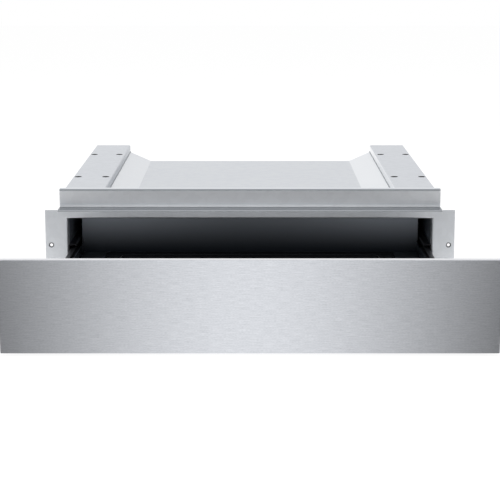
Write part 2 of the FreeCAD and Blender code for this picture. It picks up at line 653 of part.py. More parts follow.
def rear_bulkhead():
    """Black rear wall of the cavity, folded back at both sides."""
    side = OPENING_X + LINER_SHEET
    profile = [(-side, BULKHEAD_PLANE + BULKHEAD_FLANGE), (-side, BULKHEAD_PLANE), (side, BULKHEAD_PLANE),
               (side, BULKHEAD_PLANE + BULKHEAD_FLANGE)]
    wall = bent_sheet("z", profile, LINER_SHEET, CASE_SHEET, CEILING_TOP)
    rear = BULKHEAD_PLANE + LINER_SHEET
    nose = rod("y", 0, LATCH_HEIGHT, LATCH_NOSE_RADIUS, BULKHEAD_PLANE, rear)
    entry = rod("y", LEAD_X, LEAD_HEIGHT, GROMMET_RADIUS, BULKHEAD_PLANE, rear)
    return wall.cut([nose, entry])


def ceiling_insulation():
    """Mineral-wool blanket on top of the liner."""
    reach = OPENING_X - 4
    return block(-reach, reach, LINER_FRONT + 4, BULKHEAD_PLANE - 2, CEILING_TOP,
                 RECESS_FLOOR - CASE_SHEET - BLANKET_GAP)


def side_insulation():
    """Mineral-wool blanket between the liner and the right side panel."""
    return block(OPENING_X + LINER_SHEET, SIDE_X - CASE_SHEET - BLANKET_GAP, LINER_FRONT + 4,
                 BULKHEAD_PLANE - 2, BASE_UPSTAND + 3, SIDE_BLANKET_TOP)


def case_fasteners():
    """Screws of the case, and the rivets that hold the outer rails."""
    pieces = []
    for y, z in SIDE_SCREWS:
        pieces += both(pan_head_screw(Vector(CASE_WIDTH / 2, y, z), Vector(1, 0, 0)))
    for x in CROSSBAR_SCREWS:
        seat = Vector(x, CROSSBAR_REAR - SCREW_INSET, FRAME_TOP + RAIL_SHEET)
        pieces.append(pan_head_screw(seat, Vector(0, 0, 1), 2 * RAIL_SHEET))
    for x, z in TERMINAL_SCREWS:
        pieces.append(pan_head_screw(Vector(x, CASE_DEPTH + CASE_SHEET, z), Vector(0, 1, 0)))
    for y in OUTER_RIVETS:
        seat = Vector(OPENING_X - SLIDE_SHEET, y, SLIDE_CENTRE)
        pieces += both(rivet(seat, Vector(-1, 0, 0), SLIDE_SHEET + LINER_SHEET))
    return Part.makeCompound(pieces)


# ---------------------------------------------------------------- telescopic rails
SLIDE_TOP = SLIDE_CENTRE + SLIDE_HEIGHT / 2
RACE = 2 * BALL_RADIUS + 2 * BALL_PLAY  # gap that a row of balls runs in
MIDDLE_TOP = SLIDE_TOP - SLIDE_SHEET - RACE
INNER_TOP = MIDDLE_TOP - SLIDE_SHEET - RACE
OUTER_LIP_X = DRAWER_X + SLIDE_SIDE_GAP
OUTER_CAGE_X = OPENING_X - SLIDE_SHEET - CAGE_PLAY
MIDDLE_X = OUTER_CAGE_X - CAGE_SHEET - CAGE_PLAY
INNER_CAGE_X = MIDDLE_X - SLIDE_SHEET - CAGE_PLAY
INNER_LIP_X = INNER_CAGE_X - CAGE_SHEET - CAGE_PLAY
CAGE_LIP_X = OUTER_LIP_X + SLIDE_SHEET + CAGE_PLAY


def channel(web, lip, top, sheet, start, length, inside=SLIDE_FOLD):
    """Channel with its web at one X and the ends of its flanges at another, even about the rails' middle."""
    bottom = 2 * SLIDE_CENTRE - top
    metal = "right" if web > lip else "left"
    profile = [(lip, top), (web, top), (web, bottom), (lip, bottom)]
    return bent_sheet("y", profile, sheet, start, start + length, metal, inside)


def outer_rail():
    """Rail fixed to the case, with its flanges hooked inward over the balls."""
    bottom = 2 * SLIDE_CENTRE - SLIDE_TOP
    hook = SLIDE_SHEET + SLIDE_HOOK
    profile = [(OUTER_LIP_X, SLIDE_TOP - hook), (OUTER_LIP_X, SLIDE_TOP), (OPENING_X, SLIDE_TOP),
               (OPENING_X, bottom), (OUTER_LIP_X, bottom), (OUTER_LIP_X, bottom + hook)]
    rail = bent_sheet("y", profile, SLIDE_SHEET, SLIDE_START, SLIDE_START + SLIDE_LENGTH, "right", SLIDE_FOLD)
    return rail.cut([rivet_hole(y, OPENING_X - SLIDE_SHEET, OPENING_X) for y in OUTER_RIVETS])


def middle_rail():
    """Rail that runs inside the outer one and carries the inner one."""
    return channel(MIDDLE_X, CAGE_LIP_X - 0.4, MIDDLE_TOP, SLIDE_SHEET, SLIDE_START + SLIDE_STEP,
                   SLIDE_LENGTH - MIDDLE_SHORTER)


def inner_rail():
    """Rail riveted to the drawer's side."""
    rail = channel(DRAWER_X, INNER_LIP_X, INNER_TOP, SLIDE_SHEET, SLIDE_START + 2 * SLIDE_STEP,
                   SLIDE_LENGTH - INNER_SHORTER)
    return rail.cut([rivet_hole(y, DRAWER_X, DRAWER_X + SLIDE_SHEET) for y in INNER_RIVETS])


def ball_cage(web, ball_height):
    """Thin channel with two rows of balls standing in its flanges."""
    cage = channel(web, CAGE_LIP_X, ball_height + CAGE_SHEET / 2, CAGE_SHEET, CAGE_START, CAGE_LENGTH, 0.2)
    pitch = CAGE_LENGTH / BALL_COUNT
    holes, balls = [], []
    for height in (ball_height, 2 * SLIDE_CENTRE - ball_height):
        for i in range(BALL_COUNT):
            y = CAGE_START + pitch * (i + 0.5)
            x = DRAWER_X + BALL_FROM_DRAWER
            holes.append(rod("z", x, y, BALL_RADIUS + CAGE_HOLE_PLAY, height - 1, height + 1))
            balls.append(Part.makeSphere(BALL_RADIUS, Vector(x, y, height)))
    return Part.makeCompound([cage.cut(holes)] + balls)


def outer_cage():
    """Cage between the outer and the middle rail."""
    return ball_cage(OUTER_CAGE_X, MIDDLE_TOP + RACE / 2)


def inner_cage():
    """Cage between the middle and the inner rail."""
    return ball_cage(INNER_CAGE_X, INNER_TOP + RACE / 2)


# ---------------------------------------------------------------- drawer
def drawer_pan():
    """Tray of the drawer, hemmed along the sides and turned up at the rear."""
    side = [(DRAWER_X, PAN_UNDERSIDE), (DRAWER_X, PAN_SIDE_TOP)]
    mirror_side = [(-DRAWER_X, PAN_SIDE_TOP), (-DRAWER_X, PAN_UNDERSIDE)]
    hem = DRAWER_X - PAN_HEM
    hem_start = BACKING_REAR + BRACKET_LENGTH + 2
    plain = bent_sheet("y", mirror_side + side, PAN_SHEET, BACKING_REAR, hem_start)
    hemmed_profile = [(-hem, PAN_SIDE_TOP)] + mirror_side + side + [(hem, PAN_SIDE_TOP)]
    hemmed = bent_sheet("y", hemmed_profile, PAN_SHEET, hem_start, REAR_WALL_PLANE)
    flange = block(3 - DRAWER_X, DRAWER_X - 3, REAR_WALL_PLANE - PAN_SHEET, REAR_WALL_PLANE,
                   PAN_FLOOR, PAN_FLOOR + PAN_REAR_FLANGE)
    holes = []
    for y in INNER_RIVETS:
        holes += both(rivet_hole(y, DRAWER_X - PAN_SHEET, DRAWER_X))
    return fused([plain, hemmed, flange]).cut(holes)


def drawer_deck():
    """Upper floor of the drawer, folded down at the sides, with a sunken ledge for the glass."""
    side = DRAWER_X - PAN_SHEET - DECK_PLAY
    foot = PAN_FLOOR + DECK_FOOT
    profile = [(-side, foot), (-side, DECK_TOP), (side, DECK_TOP), (side, foot)]
    rear = REAR_WALL_PLANE - PAN_SHEET - BLANKET_GAP
    deck = bent_sheet("y", profile, PAN_SHEET, DECK_FRONT, rear, "right")
    ledge_top = GLASS_UNDERSIDE - GLASS_SEAL
    well = glass_outline(GLASS_GAP + PAN_SHEET, ledge_top - PAN_SHEET, DECK_TOP)
    hollow = glass_outline(GLASS_GAP, ledge_top, DECK_TOP)
    window = glass_outline(-GLASS_LEDGE, ledge_top - PAN_SHEET, ledge_top)
    return fused([deck, well]).cut([hollow, window])


def glass_outline(margin, z0, z1):
    """Block with the glass plate's outline, larger by a margin."""
    half = GLASS_WIDTH / 2 + margin
    radius = max(GLASS_CORNER + margin, 1.0)
    return rounded_block("z", -half, half, GLASS_FRONT - margin, GLASS_REAR + margin, z0, z1, radius)


def glass_plate():
    """Black glass plate that the crockery stands on."""
    plate = glass_outline(0.0, GLASS_UNDERSIDE, GLASS_TOP)
    return plate.makeChamfer(GLASS_EDGE, edges_at(plate, "z", GLASS_TOP))


def glass_seal():
    """Flat silicone gasket between the glass and its ledge."""
    bottom = GLASS_UNDERSIDE - GLASS_SEAL
    return glass_outline(-0.5, bottom, GLASS_UNDERSIDE).cut(
        glass_outline(-GLASS_LEDGE + 1.0, bottom, GLASS_UNDERSIDE))


def heating_element():
    """Tubular element that runs to and fro under the glass, ending in two ceramic sleeves."""
    z = SUPPORT_TOP + HEATER_RADIUS + HEATER_PLAY
    left = -HEATER_PITCH * (HEATER_LEGS - 1) / 2
    xs = [left + i * HEATER_PITCH for i in range(HEATER_LEGS)]
    bend = HEATER_PITCH / 2
    start = Vector(xs[0], HEATER_FRONT - HEATER_TAIL, z)
    edges = [Part.LineSegment(start, Vector(xs[0], HEATER_REAR, z)).toShape()]
    for i in range(HEATER_LEGS - 1):
        up = i % 2 == 0
        y = HEATER_REAR if up else HEATER_FRONT
        crest = y + bend if up else y - bend
        far = HEATER_FRONT if up else HEATER_REAR
        if i == HEATER_LEGS - 2:
            far = HEATER_FRONT - HEATER_TAIL
        arc = Part.Arc(Vector(xs[i], y, z), Vector(xs[i] + bend, crest, z), Vector(xs[i + 1], y, z))
        edges.append(arc.toShape())
        edges.append(Part.LineSegment(Vector(xs[i + 1], y, z), Vector(xs[i + 1], far, z)).toShape())
    circle = Part.Circle(start, Vector(0, 1, 0), HEATER_RADIUS).toShape()
    element = Part.Wire(edges).makePipeShell([Part.Wire(circle)], True, False)
    sleeves = [rod("y", x, z, HEATER_RADIUS + 0.8, start.y - 10, start.y) for x in (xs[0], xs[-1])]
    return Part.makeCompound([element] + sleeves)


def heater_supports():
    """Flat straps that carry the element above the blanket."""
    half = HEATER_PITCH * (HEATER_LEGS - 1) / 2 + SUPPORT_OVERHANG
    middle = (HEATER_FRONT + HEATER_REAR) / 2
    straps = []
    for i in range(SUPPORT_COUNT):
        y = middle + (i - (SUPPORT_COUNT - 1) / 2) * SUPPORT_PITCH
        straps.append(rounded_block("z", -half, half, y - SUPPORT_WIDTH / 2, y + SUPPORT_WIDTH / 2,
                                    BLANKET_TOP, SUPPORT_TOP, 3.0))
    return Part.makeCompound(straps)


def pan_insulation():
    """Mineral-wool blanket on the pan's floor."""
    reach = DRAWER_X - PAN_BLANKET_MARGIN
    return block(-reach, reach, DECK_FRONT + 10, REAR_WALL_PLANE - 10, PAN_FLOOR, BLANKET_TOP)


def thermal_cutout():
    """Round safety cut-out on the middle strap, with two terminals."""
    y = (HEATER_FRONT + HEATER_REAR) / 2
    disc = rod("z", 0, y, CUTOUT_RADIUS, SUPPORT_TOP, SUPPORT_TOP + CUTOUT_HEIGHT)
    tabs = [block(side * 4 - 0.4, side * 4 + 0.4, y + CUTOUT_RADIUS - 4, y + CUTOUT_RADIUS + 5,
                  SUPPORT_TOP + 1, SUPPORT_TOP + 4) for side in (-1, 1)]
    return fused([disc] + tabs)


def sensor_bulb():
    """Thermostat's bulb, lying on the middle strap between two legs of the element."""
    y = (HEATER_FRONT + HEATER_REAR) / 2
    z = SUPPORT_TOP + BULB_RADIUS + HEATER_PLAY
    bulb = rod("y", HEATER_PITCH, z, BULB_RADIUS, y - BULB_LENGTH / 2, y + BULB_LENGTH / 2)
    front = y - BULB_LENGTH / 2
    capillary = rod("y", HEATER_PITCH, z, CAPILLARY_RADIUS, front - CAPILLARY_LENGTH, front)
    return fused([bulb, capillary])


def drawer_rear_wall():
    """Tall rear wall of the drawer, folded back along its top."""
    rear = REAR_WALL_PLANE + REAR_WALL_FOLD
    profile = [(REAR_WALL_PLANE, PAN_UNDERSIDE), (REAR_WALL_PLANE, REAR_WALL_TOP), (rear, REAR_WALL_TOP)]
    return bent_sheet("x", profile, PAN_SHEET, -DRAWER_X, DRAWER_X, "right")


def front_bracket():
    """Right gusset that holds the front square to the pan."""
    side = DRAWER_X - PAN_SHEET
    rear = BACKING_REAR + BRACKET_LENGTH
    profile = [(side - BRACKET_FOOT, BACKING_REAR), (side, BACKING_REAR), (side, rear)]
    angle = bent_sheet("z", profile, BRACKET_SHEET, DECK_TOP, BRACKET_HEIGHT)
    waste = prism("x", [(BACKING_REAR + 14, BRACKET_HEIGHT), (rear, PAN_SIDE_TOP), (rear + 1, PAN_SIDE_TOP),
                        (rear + 1, BRACKET_HEIGHT + 1), (BACKING_REAR + 14, BRACKET_HEIGHT + 1)],
                  side - BRACKET_SHEET - 1, side + 1)
    return angle.cut([waste] + bracket_screw_holes())


def bracket_screw_holes():
    """Cutters for the screws that hold the front to its brackets."""
    holes = []
    for z in BRACKET_SCREWS:
        holes += both(rod("y", BRACKET_SCREW_X, z, SCREW_RADIUS + SCREW_PLAY,
                          BACKING_REAR - SCREW_LENGTH, BACKING_REAR + BRACKET_SHEET))
    return holes


def drawer_fasteners():
    """Screws of the front brackets, and the rivets that hold the inner rails."""
    pieces = []
    for z in BRACKET_SCREWS:
        seat = Vector(BRACKET_SCREW_X, BACKING_REAR + BRACKET_SHEET, z)
        pieces += both(pan_head_screw(seat, Vector(0, 1, 0)))
    for y in INNER_RIVETS:
        seat = Vector(DRAWER_X + SLIDE_SHEET, y, SLIDE_CENTRE)
        pieces += both(rivet(seat, Vector(1, 0, 0), SLIDE_SHEET + PAN_SHEET))
    return Part.makeCompound(pieces)


# ---------------------------------------------------------------- front
def front_panel():
    """Steel skin of the front: a shallow tray, open towards the drawer."""
    half = FRONT_WIDTH / 2
    top = FRONT_BOTTOM + FRONT_HEIGHT
    skin = block(-half, half, FRONT_FACE, RIM_REAR, FRONT_BOTTOM, top)
    skin = skin.makeFillet(FRONT_EDGE, edges_at(skin, "y", FRONT_FACE) + edges_along(skin, "y"))
    inner = half - FRONT_SHEET
    return skin.cut(block(-inner, inner, FRONT_FACE + FRONT_SHEET, RIM_REAR,
                          FRONT_BOTTOM + FRONT_SHEET, top - FRONT_SHEET))


def front_backing():
    """Galvanised inner pressing that closes the skin and stands back towards the frame."""
    inner = FRONT_WIDTH / 2 - FRONT_SHEET - FRONT_PLAY
    low = FRONT_BOTTOM + FRONT_SHEET + FRONT_PLAY
    high = FRONT_BOTTOM + FRONT_HEIGHT - FRONT_SHEET - FRONT_PLAY
    plate = block(-inner, inner, RIM_REAR - BACKING_SHEET, RIM_REAR, low, high)
    half = BACKING_WIDTH / 2
    box = rounded_block("y", -half, half, RIM_REAR, BACKING_REAR, BACKING_BOTTOM, BACKING_TOP, 3.0)
    box = box.makeFillet(FOLD_RADIUS + BACKING_SHEET, edges_at(box, "y", BACKING_REAR))
    hollow = rounded_block("y", BACKING_SHEET - half, half - BACKING_SHEET, RIM_REAR - BACKING_SHEET,
                           BACKING_REAR - BACKING_SHEET, BACKING_BOTTOM + BACKING_SHEET,
                           BACKING_TOP - BACKING_SHEET, 2.2)
    return fused([plate, box]).cut([hollow] + bracket_screw_holes())


def front_insulation():
    """Mineral-wool block inside the front."""
    reach = BACKING_WIDTH / 2 - BACKING_SHEET - 1.0
    wool = block(-reach, reach, FRONT_FACE + FRONT_SHEET + BLANKET_GAP, BACKING_REAR - BACKING_SHEET,
                 BACKING_BOTTOM + BACKING_SHEET + 1.0, BACKING_TOP - BACKING_SHEET - 1.0)
    return wool.cut(bracket_screw_holes())


def front_seal():
    """Silicone strip around the top and sides of the opening, on the back of the front."""
    inner = OPENING_X + SEAL_OUTSET
    outer = inner + SEAL_WIDTH
    low, high = OPENING_TOP + SEAL_OUTSET, OPENING_TOP + SEAL_OUTSET + SEAL_WIDTH
    outline = [(-outer, SEAL_FOOT), (-inner, SEAL_FOOT), (-inner, low), (inner, low), (inner, SEAL_FOOT),
               (outer, SEAL_FOOT), (outer, high), (-outer, high)]
    return prism("y", outline, BACKING_REAR, BACKING_REAR + SEAL_THICKNESS)


# ---------------------------------------------------------------- controls
def control_housing():
    """Low box behind the front that carries the controls on its top."""
    rear = DECK_FRONT + CONTROL_DEPTH
    box = rounded_block("z", CONTROL_X0, CONTROL_X1, DECK_FRONT, rear, DECK_TOP, CONTROL_TOP, 3.0)
    box = box.makeFillet(CONTROL_EDGE, edges_at(box, "z", CONTROL_TOP))
    hollow = block(CONTROL_X0 + CONTROL_WALL, CONTROL_X1 - CONTROL_WALL, DECK_FRONT + CONTROL_WALL,
                   rear - CONTROL_WALL, DECK_TOP, CONTROL_TOP - CONTROL_WALL)
    bush = rod("z", KNOB_X, CONTROL_Y, BUSH_RADIUS, CONTROL_TOP - CONTROL_WALL, CONTROL_TOP)
    length, width = SWITCH_LENGTH / 2 - SWITCH_BEZEL, SWITCH_WIDTH / 2 - SWITCH_BEZEL
    switch = block(SWITCH_X - length, SWITCH_X + length, CONTROL_Y - width, CONTROL_Y + width,
                   CONTROL_TOP - CONTROL_WALL, CONTROL_TOP)
    lamp = rod("z", LAMP_X, CONTROL_Y, LAMP_RADIUS + LAMP_PLAY, CONTROL_TOP - CONTROL_WALL, CONTROL_TOP)
    return box.cut([hollow, bush, switch, lamp])


def thermostat_body():
    """Thermostat under the housing's top, with a bush that guides the knob's shaft."""
    half = THERMOSTAT_SIDE / 2
    top = CONTROL_TOP - CONTROL_WALL
    body = rounded_block("z", KNOB_X - half, KNOB_X + half, CONTROL_Y - half, CONTROL_Y + half,
                         top - THERMOSTAT_HEIGHT, top, 2.0)
    bush = rod("z", KNOB_X, CONTROL_Y, BUSH_RADIUS, top, CONTROL_TOP)
    bore = rod("z", KNOB_X, CONTROL_Y, SHAFT_RADIUS + SHAFT_PLAY, top - THERMOSTAT_HEIGHT + 2, CONTROL_TOP)
    return fused([body, bush]).cut(bore)


def temperature_knob():
    """Fluted knob with a pointer line, in one piece with its shaft."""
    bottom = CONTROL_TOP + KNOB_LIFT
    top = bottom + KNOB_HEIGHT
    knob = rod("z", KNOB_X, CONTROL_Y, KNOB_RADIUS, bottom, top)
    knob = knob.makeFillet(1.2, edges_at(knob, "z", top))
    cutters = []
    for i in range(KNOB_FLUTES):
        angle = 2 * math.pi * (i + 0.5) / KNOB_FLUTES
        reach = KNOB_RADIUS + 1.0
        cutters.append(rod("z", KNOB_X + reach * math.cos(angle), CONTROL_Y + reach * math.sin(angle),
                           2.0, bottom + KNOB_GRIP, top))
    cutters.append(block(KNOB_X - 0.6, KNOB_X + 0.6, CONTROL_Y + 3, CONTROL_Y + KNOB_RADIUS, top - 0.5, top))
    foot = CONTROL_TOP - CONTROL_WALL - THERMOSTAT_HEIGHT + 3
    shaft = rod("z", KNOB_X, CONTROL_Y, SHAFT_RADIUS, foot, bottom)
    return fused([knob.cut(cutters), shaft])


def rocker_pivot_height():
    """Height of the rocker's pin."""
    return CONTROL_TOP - 1.0


def switch_body():
    """Case of the rocker switch, clipped into the housing."""
    length, width = SWITCH_LENGTH / 2, SWITCH_WIDTH / 2
    bezel = rounded_block("z", SWITCH_X - length, SWITCH_X + length, CONTROL_Y - width, CONTROL_Y + width,
                          CONTROL_TOP, CONTROL_TOP + SWITCH_BEZEL, 1.0)
    body = block(SWITCH_X - length + SWITCH_BEZEL, SWITCH_X + length - SWITCH_BEZEL,
                 CONTROL_Y - width + SWITCH_BEZEL, CONTROL_Y + width - SWITCH_BEZEL,
                 CONTROL_TOP - SWITCH_DEPTH, CONTROL_TOP)
    well = block(SWITCH_X - length + SWITCH_WALL, SWITCH_X + length - SWITCH_WALL,
                 CONTROL_Y - width + SWITCH_WALL, CONTROL_Y + width - SWITCH_WALL,
                 CONTROL_TOP - SWITCH_DEPTH + SWITCH_WALL, CONTROL_TOP + SWITCH_BEZEL)
    pins = rod("y", SWITCH_X, rocker_pivot_height(), 1.0 + SHAFT_PLAY,
               CONTROL_Y - width + SWITCH_WALL - 0.7, CONTROL_Y + width - SWITCH_WALL + 0.7)
    return fused([bezel, body]).cut([well, pins])


def switch_rocker():
    """Rocker on its pin, tipped to off."""
    z = rocker_pivot_height()
    length = SWITCH_LENGTH / 2 - SWITCH_WALL - ROCKER_PLAY
    width = SWITCH_WIDTH / 2 - SWITCH_WALL - ROCKER_PLAY
    rise = length * math.tan(math.radians(ROCKER_TILT))
    outline = [(-length, z - 2.0), (0, z - 4.5), (length, z - 2.0), (length, z + 2.2 + rise), (0, z + 2.2),
               (-length, z + 2.2 + rise)]
    outline = [(SWITCH_X + u, v) for u, v in outline]
    rocker = prism("y", outline, CONTROL_Y - width, CONTROL_Y + width)
    reach = width + ROCKER_PLAY + 0.5
    pin = rod("y", SWITCH_X, z, 1.0, CONTROL_Y - reach, CONTROL_Y + reach)
    rocker = fused([rocker, pin])
    rocker.rotate(Vector(SWITCH_X, CONTROL_Y, z), Vector(0, 1, 0), -ROCKER_TILT)
    return rocker


def pilot_lens():
    """Domed lens of the pilot lamp."""
    stem = rod("z", LAMP_X, CONTROL_Y, LAMP_RADIUS, CONTROL_TOP - 6, CONTROL_TOP)
    collar = rod("z", LAMP_X, CONTROL_Y, LAMP_RADIUS + 0.8, CONTROL_TOP, CONTROL_TOP + 0.8)
    dome = Part.makeSphere(LAMP_RADIUS, Vector(LAMP_X, CONTROL_Y, CONTROL_TOP + 0.8))
    upper = block(LAMP_X - 4, LAMP_X + 4, CONTROL_Y - 4, CONTROL_Y + 4, CONTROL_TOP, CONTROL_TOP + 4)
    return fused([stem, collar, dome.common(upper)])


# ---------------------------------------------------------------- push latch
def latch_body():
    """Latch behind the bulkhead, with a nose through it that guides the plunger."""
    rear = BULKHEAD_PLANE + LINER_SHEET
    half = LATCH_WIDTH / 2
    body = rounded_block("y", -half, half, rear, rear + LATCH_DEPTH, LATCH_HEIGHT - LATCH_BLOCK_HEIGHT / 2,
                         LATCH_HEIGHT + LATCH_BLOCK_HEIGHT / 2, 2.0)
    nose = rod("y", 0, LATCH_HEIGHT, LATCH_NOSE_RADIUS, BULKHEAD_PLANE - 1.5, rear)
    bore = rod("y", 0, LATCH_HEIGHT, PLUNGER_RADIUS + PLUNGER_PLAY, BULKHEAD_PLANE - 1.5,
               rear + LATCH_DEPTH - 3.0)
    return fused([body, nose]).cut(bore)


def latch_plunger():
    """Sprung plunger that the drawer's striker meets."""
    head = rod("y", 0, LATCH_HEIGHT, PLUNGER_HEAD_RADIUS, PLUNGER_TIP, PLUNGER_TIP + PLUNGER_HEAD)
    head = head.makeFillet(0.6, edges_at(head, "y", PLUNGER_TIP))
    stem = rod("y", 0, LATCH_HEIGHT, PLUNGER_RADIUS, PLUNGER_TIP + PLUNGER_HEAD, PLUNGER_TIP + PLUNGER_LENGTH)
    return fused([head, stem])


def latch_striker():
    """Steel pad on the back of the drawer."""
    half = STRIKER_SIDE / 2
    front = REAR_WALL_PLANE + PAN_SHEET
    return rounded_block("y", -half, half, front, STRIKER_REAR, LATCH_HEIGHT - half, LATCH_HEIGHT + half, 3.0)


# ---------------------------------------------------------------- wiring
def lead_clip():
    """Strain relief under the pan, where the lead joins the drawer."""
    half = LEAD_CLIP_WIDTH / 2
    return rounded_block("y", LEAD_X - half, LEAD_X + half, LEAD_CLIP_Y, LEAD_CLIP_Y + LEAD_CLIP_LENGTH,
                         LEAD_HEIGHT - LEAD_RADIUS - 0.2, PAN_UNDERSIDE, 1.5)


def retractile_lead():
    """Coiled lead from the drawer's clip to the grommet, as a plain tube at its full stretch."""
    start = LEAD_CLIP_Y + LEAD_CLIP_LENGTH - DRAWER_TRAVEL
    return rod("y", LEAD_X, LEAD_HEIGHT, LEAD_RADIUS, start, BULKHEAD_PLANE - GROMMET_LIP)


def lead_grommet():
    """Grommet in the bulkhead, with a lip on both sides of the sheet."""
    front, rear = BULKHEAD_PLANE, BULKHEAD_PLANE + LINER_SHEET
    lips = [rod("y", LEAD_X, LEAD_HEIGHT, GROMMET_LIP_RADIUS, front - GROMMET_LIP, front),
            rod("y", LEAD_X, LEAD_HEIGHT, GROMMET_LIP_RADIUS, rear, rear + GROMMET_LIP)]
    neck = rod("y", LEAD_X, LEAD_HEIGHT, GROMMET_RADIUS, front, rear)
    bore = rod("y", LEAD_X, LEAD_HEIGHT, WIRE_RADIUS + SHAFT_PLAY, front - GROMMET_LIP, rear + GROMMET_LIP)
    return fused(lips + [neck]).cut(bore)


def block_front():
    """Front of the terminal block."""
    return REAR_Y - BLOCK_DEPTH - 3.0


def supply_wires():
    """Wire from the lead to the terminal block, and on to the cable gland."""
    front = block_front()
    middle = front + BLOCK_DEPTH / 2
    to_block = tube([Vector(LEAD_X, BULKHEAD_PLANE - GROMMET_LIP, LEAD_HEIGHT),
                     Vector(LEAD_X, middle, LEAD_HEIGHT),
                     Vector(TERMINAL_X - BLOCK_LENGTH / 2, middle, LEAD_HEIGHT)], WIRE_RADIUS)
    to_gland = tube([Vector(TERMINAL_X, middle, CASE_SHEET + BLOCK_HEIGHT),
                     Vector(TERMINAL_X, middle, GLAND_HEIGHT),
                     Vector(TERMINAL_X, REAR_Y - GLAND_INSIDE - WIRE_GAP, GLAND_HEIGHT)], WIRE_RADIUS)
    return Part.makeCompound([to_block, to_gland])


def terminal_block():
    """Six-way screw terminal on the floor of the case."""
    half = BLOCK_LENGTH / 2
    front = block_front()
    top = CASE_SHEET + BLOCK_HEIGHT
    body = block(TERMINAL_X - half, TERMINAL_X + half, front, front + BLOCK_DEPTH, CASE_SHEET, top)
    wells = []
    for i in range(3):
        x = TERMINAL_X + (i - 1) * BLOCK_LENGTH / 3.6
        wells += [rod("z", x, y, 2.2, top - 3, top) for y in (front + 4.5, front + BLOCK_DEPTH - 4.5)]
    return body.cut(wells)


def terminal_cover():
    """Plate over the terminal window."""
    half = TERMINAL_WINDOW_WIDTH / 2 + TERMINAL_COVER_MARGIN
    low = TERMINAL_WINDOW_BOTTOM - 8
    high = TERMINAL_WINDOW_BOTTOM + TERMINAL_WINDOW_HEIGHT + 8
    plate = rounded_block("y", TERMINAL_X - half, TERMINAL_X + half, CASE_DEPTH, CASE_DEPTH + CASE_SHEET,
                          low, high, 3.0)
    return plate.cut([rod("y", x, z, SCREW_RADIUS + SCREW_PLAY, CASE_DEPTH, CASE_DEPTH + CASE_SHEET)
                      for x, z in TERMINAL_SCREWS])


def hexagon(radius, start, end):
    """Six-sided nut outline around the cable entry."""
    corners = [(TERMINAL_X + radius * math.cos(math.radians(60 * i)),
                GLAND_HEIGHT + radius * math.sin(math.radians(60 * i))) for i in range(6)]
    return prism("y", corners, start, end)


def cable_gland():
    """Cable gland for the mains lead: lock nut inside, hexagon and domed cap outside."""
    nut = hexagon(GLAND_HEX, REAR_Y - 4, REAR_Y)
    thread = rod("y", TERMINAL_X, GLAND_HEIGHT, GLAND_THREAD, REAR_Y - GLAND_INSIDE, CASE_DEPTH)
    outside = hexagon(GLAND_HEX, CASE_DEPTH, CASE_DEPTH + 5)
    cap = rod("y", TERMINAL_X, GLAND_HEIGHT, GLAND_HEX - 2, CASE_DEPTH + 5, CASE_DEPTH + GLAND_OUTSIDE)
    end = CASE_DEPTH + GLAND_OUTSIDE
    cap = cap.makeFillet(3.0, edges_at(cap, "y", end))
    bore = rod("y", TERMINAL_X, GLAND_HEIGHT, GLAND_BORE, REAR_Y - GLAND_INSIDE, end)
    return fused([nut, thread, outside, cap]).cut(bore)


# ---------------------------------------------------------------- the whole drawer
def build():
    """Makes every piece, in its place with the drawer fully open."""
    cover = top_cover()
    keep("front_frame", front_frame())
    keep("front_crossbar", front_crossbar())
    keep("base_plate", base_plate())
    keep_pair("side_panel", side_panel())
    keep_pair("support_rail", support_rail())
    keep("top_cover", cover)
    keep("rear_panel", rear_panel(cover))
    keep("cavity_liner", cavity_liner())
    keep("rear_bulkhead", rear_bulkhead())
    keep("ceiling_insulation", ceiling_insulation())
    keep_pair("side_insulation", side_insulation())
    keep("case_fasteners", case_fasteners())

    keep_pair("outer_rail", outer_rail())
    keep_pair("middle_rail", middle_rail(), MIDDLE_SHARE)
    keep_pair("inner_rail", inner_rail(), 1.0)
    keep_pair("outer_cage", outer_cage(), OUTER_CAGE_SHARE)
    keep_pair("inner_cage", inner_cage(), INNER_CAGE_SHARE)

    keep("drawer_pan", drawer_pan(), 1.0)
    keep("drawer_deck", drawer_deck(), 1.0)
    keep("glass_plate", glass_plate(), 1.0)
    keep("glass_seal", glass_seal(), 1.0)
    keep("heating_element", heating_element(), 1.0)
    keep("heater_supports", heater_supports(), 1.0)
    keep("pan_insulation", pan_insulation(), 1.0)
    keep("thermal_cutout", thermal_cutout(), 1.0)
    keep("sensor_bulb", sensor_bulb(), 1.0)
    keep("drawer_rear_wall", drawer_rear_wall(), 1.0)
    keep_pair("front_bracket", front_bracket(), 1.0)
    keep("drawer_fasteners", drawer_fasteners(), 1.0)

    keep("front_panel", front_panel(), 1.0)
    keep("front_backing", front_backing(), 1.0)
    keep("front_insulation", front_insulation(), 1.0)
    keep("front_seal", front_seal(), 1.0)

    keep("control_housing", control_housing(), 1.0)
    keep("thermostat_body", thermostat_body(), 1.0)
    keep("temperature_knob", temperature_knob(), 1.0)
    keep("switch_body", switch_body(), 1.0)
    keep("switch_rocker", switch_rocker(), 1.0)
    keep("pilot_lens", pilot_lens(), 1.0)

    keep("latch_body", latch_body())
    keep("latch_plunger", latch_plunger())
    keep("latch_striker", latch_striker(), 1.0)

    keep("lead_clip", lead_clip(), 1.0)
    keep("retractile_lead", retractile_lead())
    keep("lead_grommet", lead_grommet())
    keep("supply_wires", supply_wires())
    keep("terminal_block", terminal_block())
    keep("terminal_cover", terminal_cover())
    keep("cable_gland", cable_gland())


build()
os.makedirs("parts", exist_ok=True)
for name, shape in parts.items():
    shape.exportStep("parts/" + name + ".step")
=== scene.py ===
"""Dresses the built-in warming drawer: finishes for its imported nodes, small extra pieces and the studio."""

import json
import logging
import math
from dataclasses import dataclass
from enum import Enum
from functools import cache
from typing import Any, Sequence

import bmesh
import bpy
from mathutils import Matrix, Vector, noise

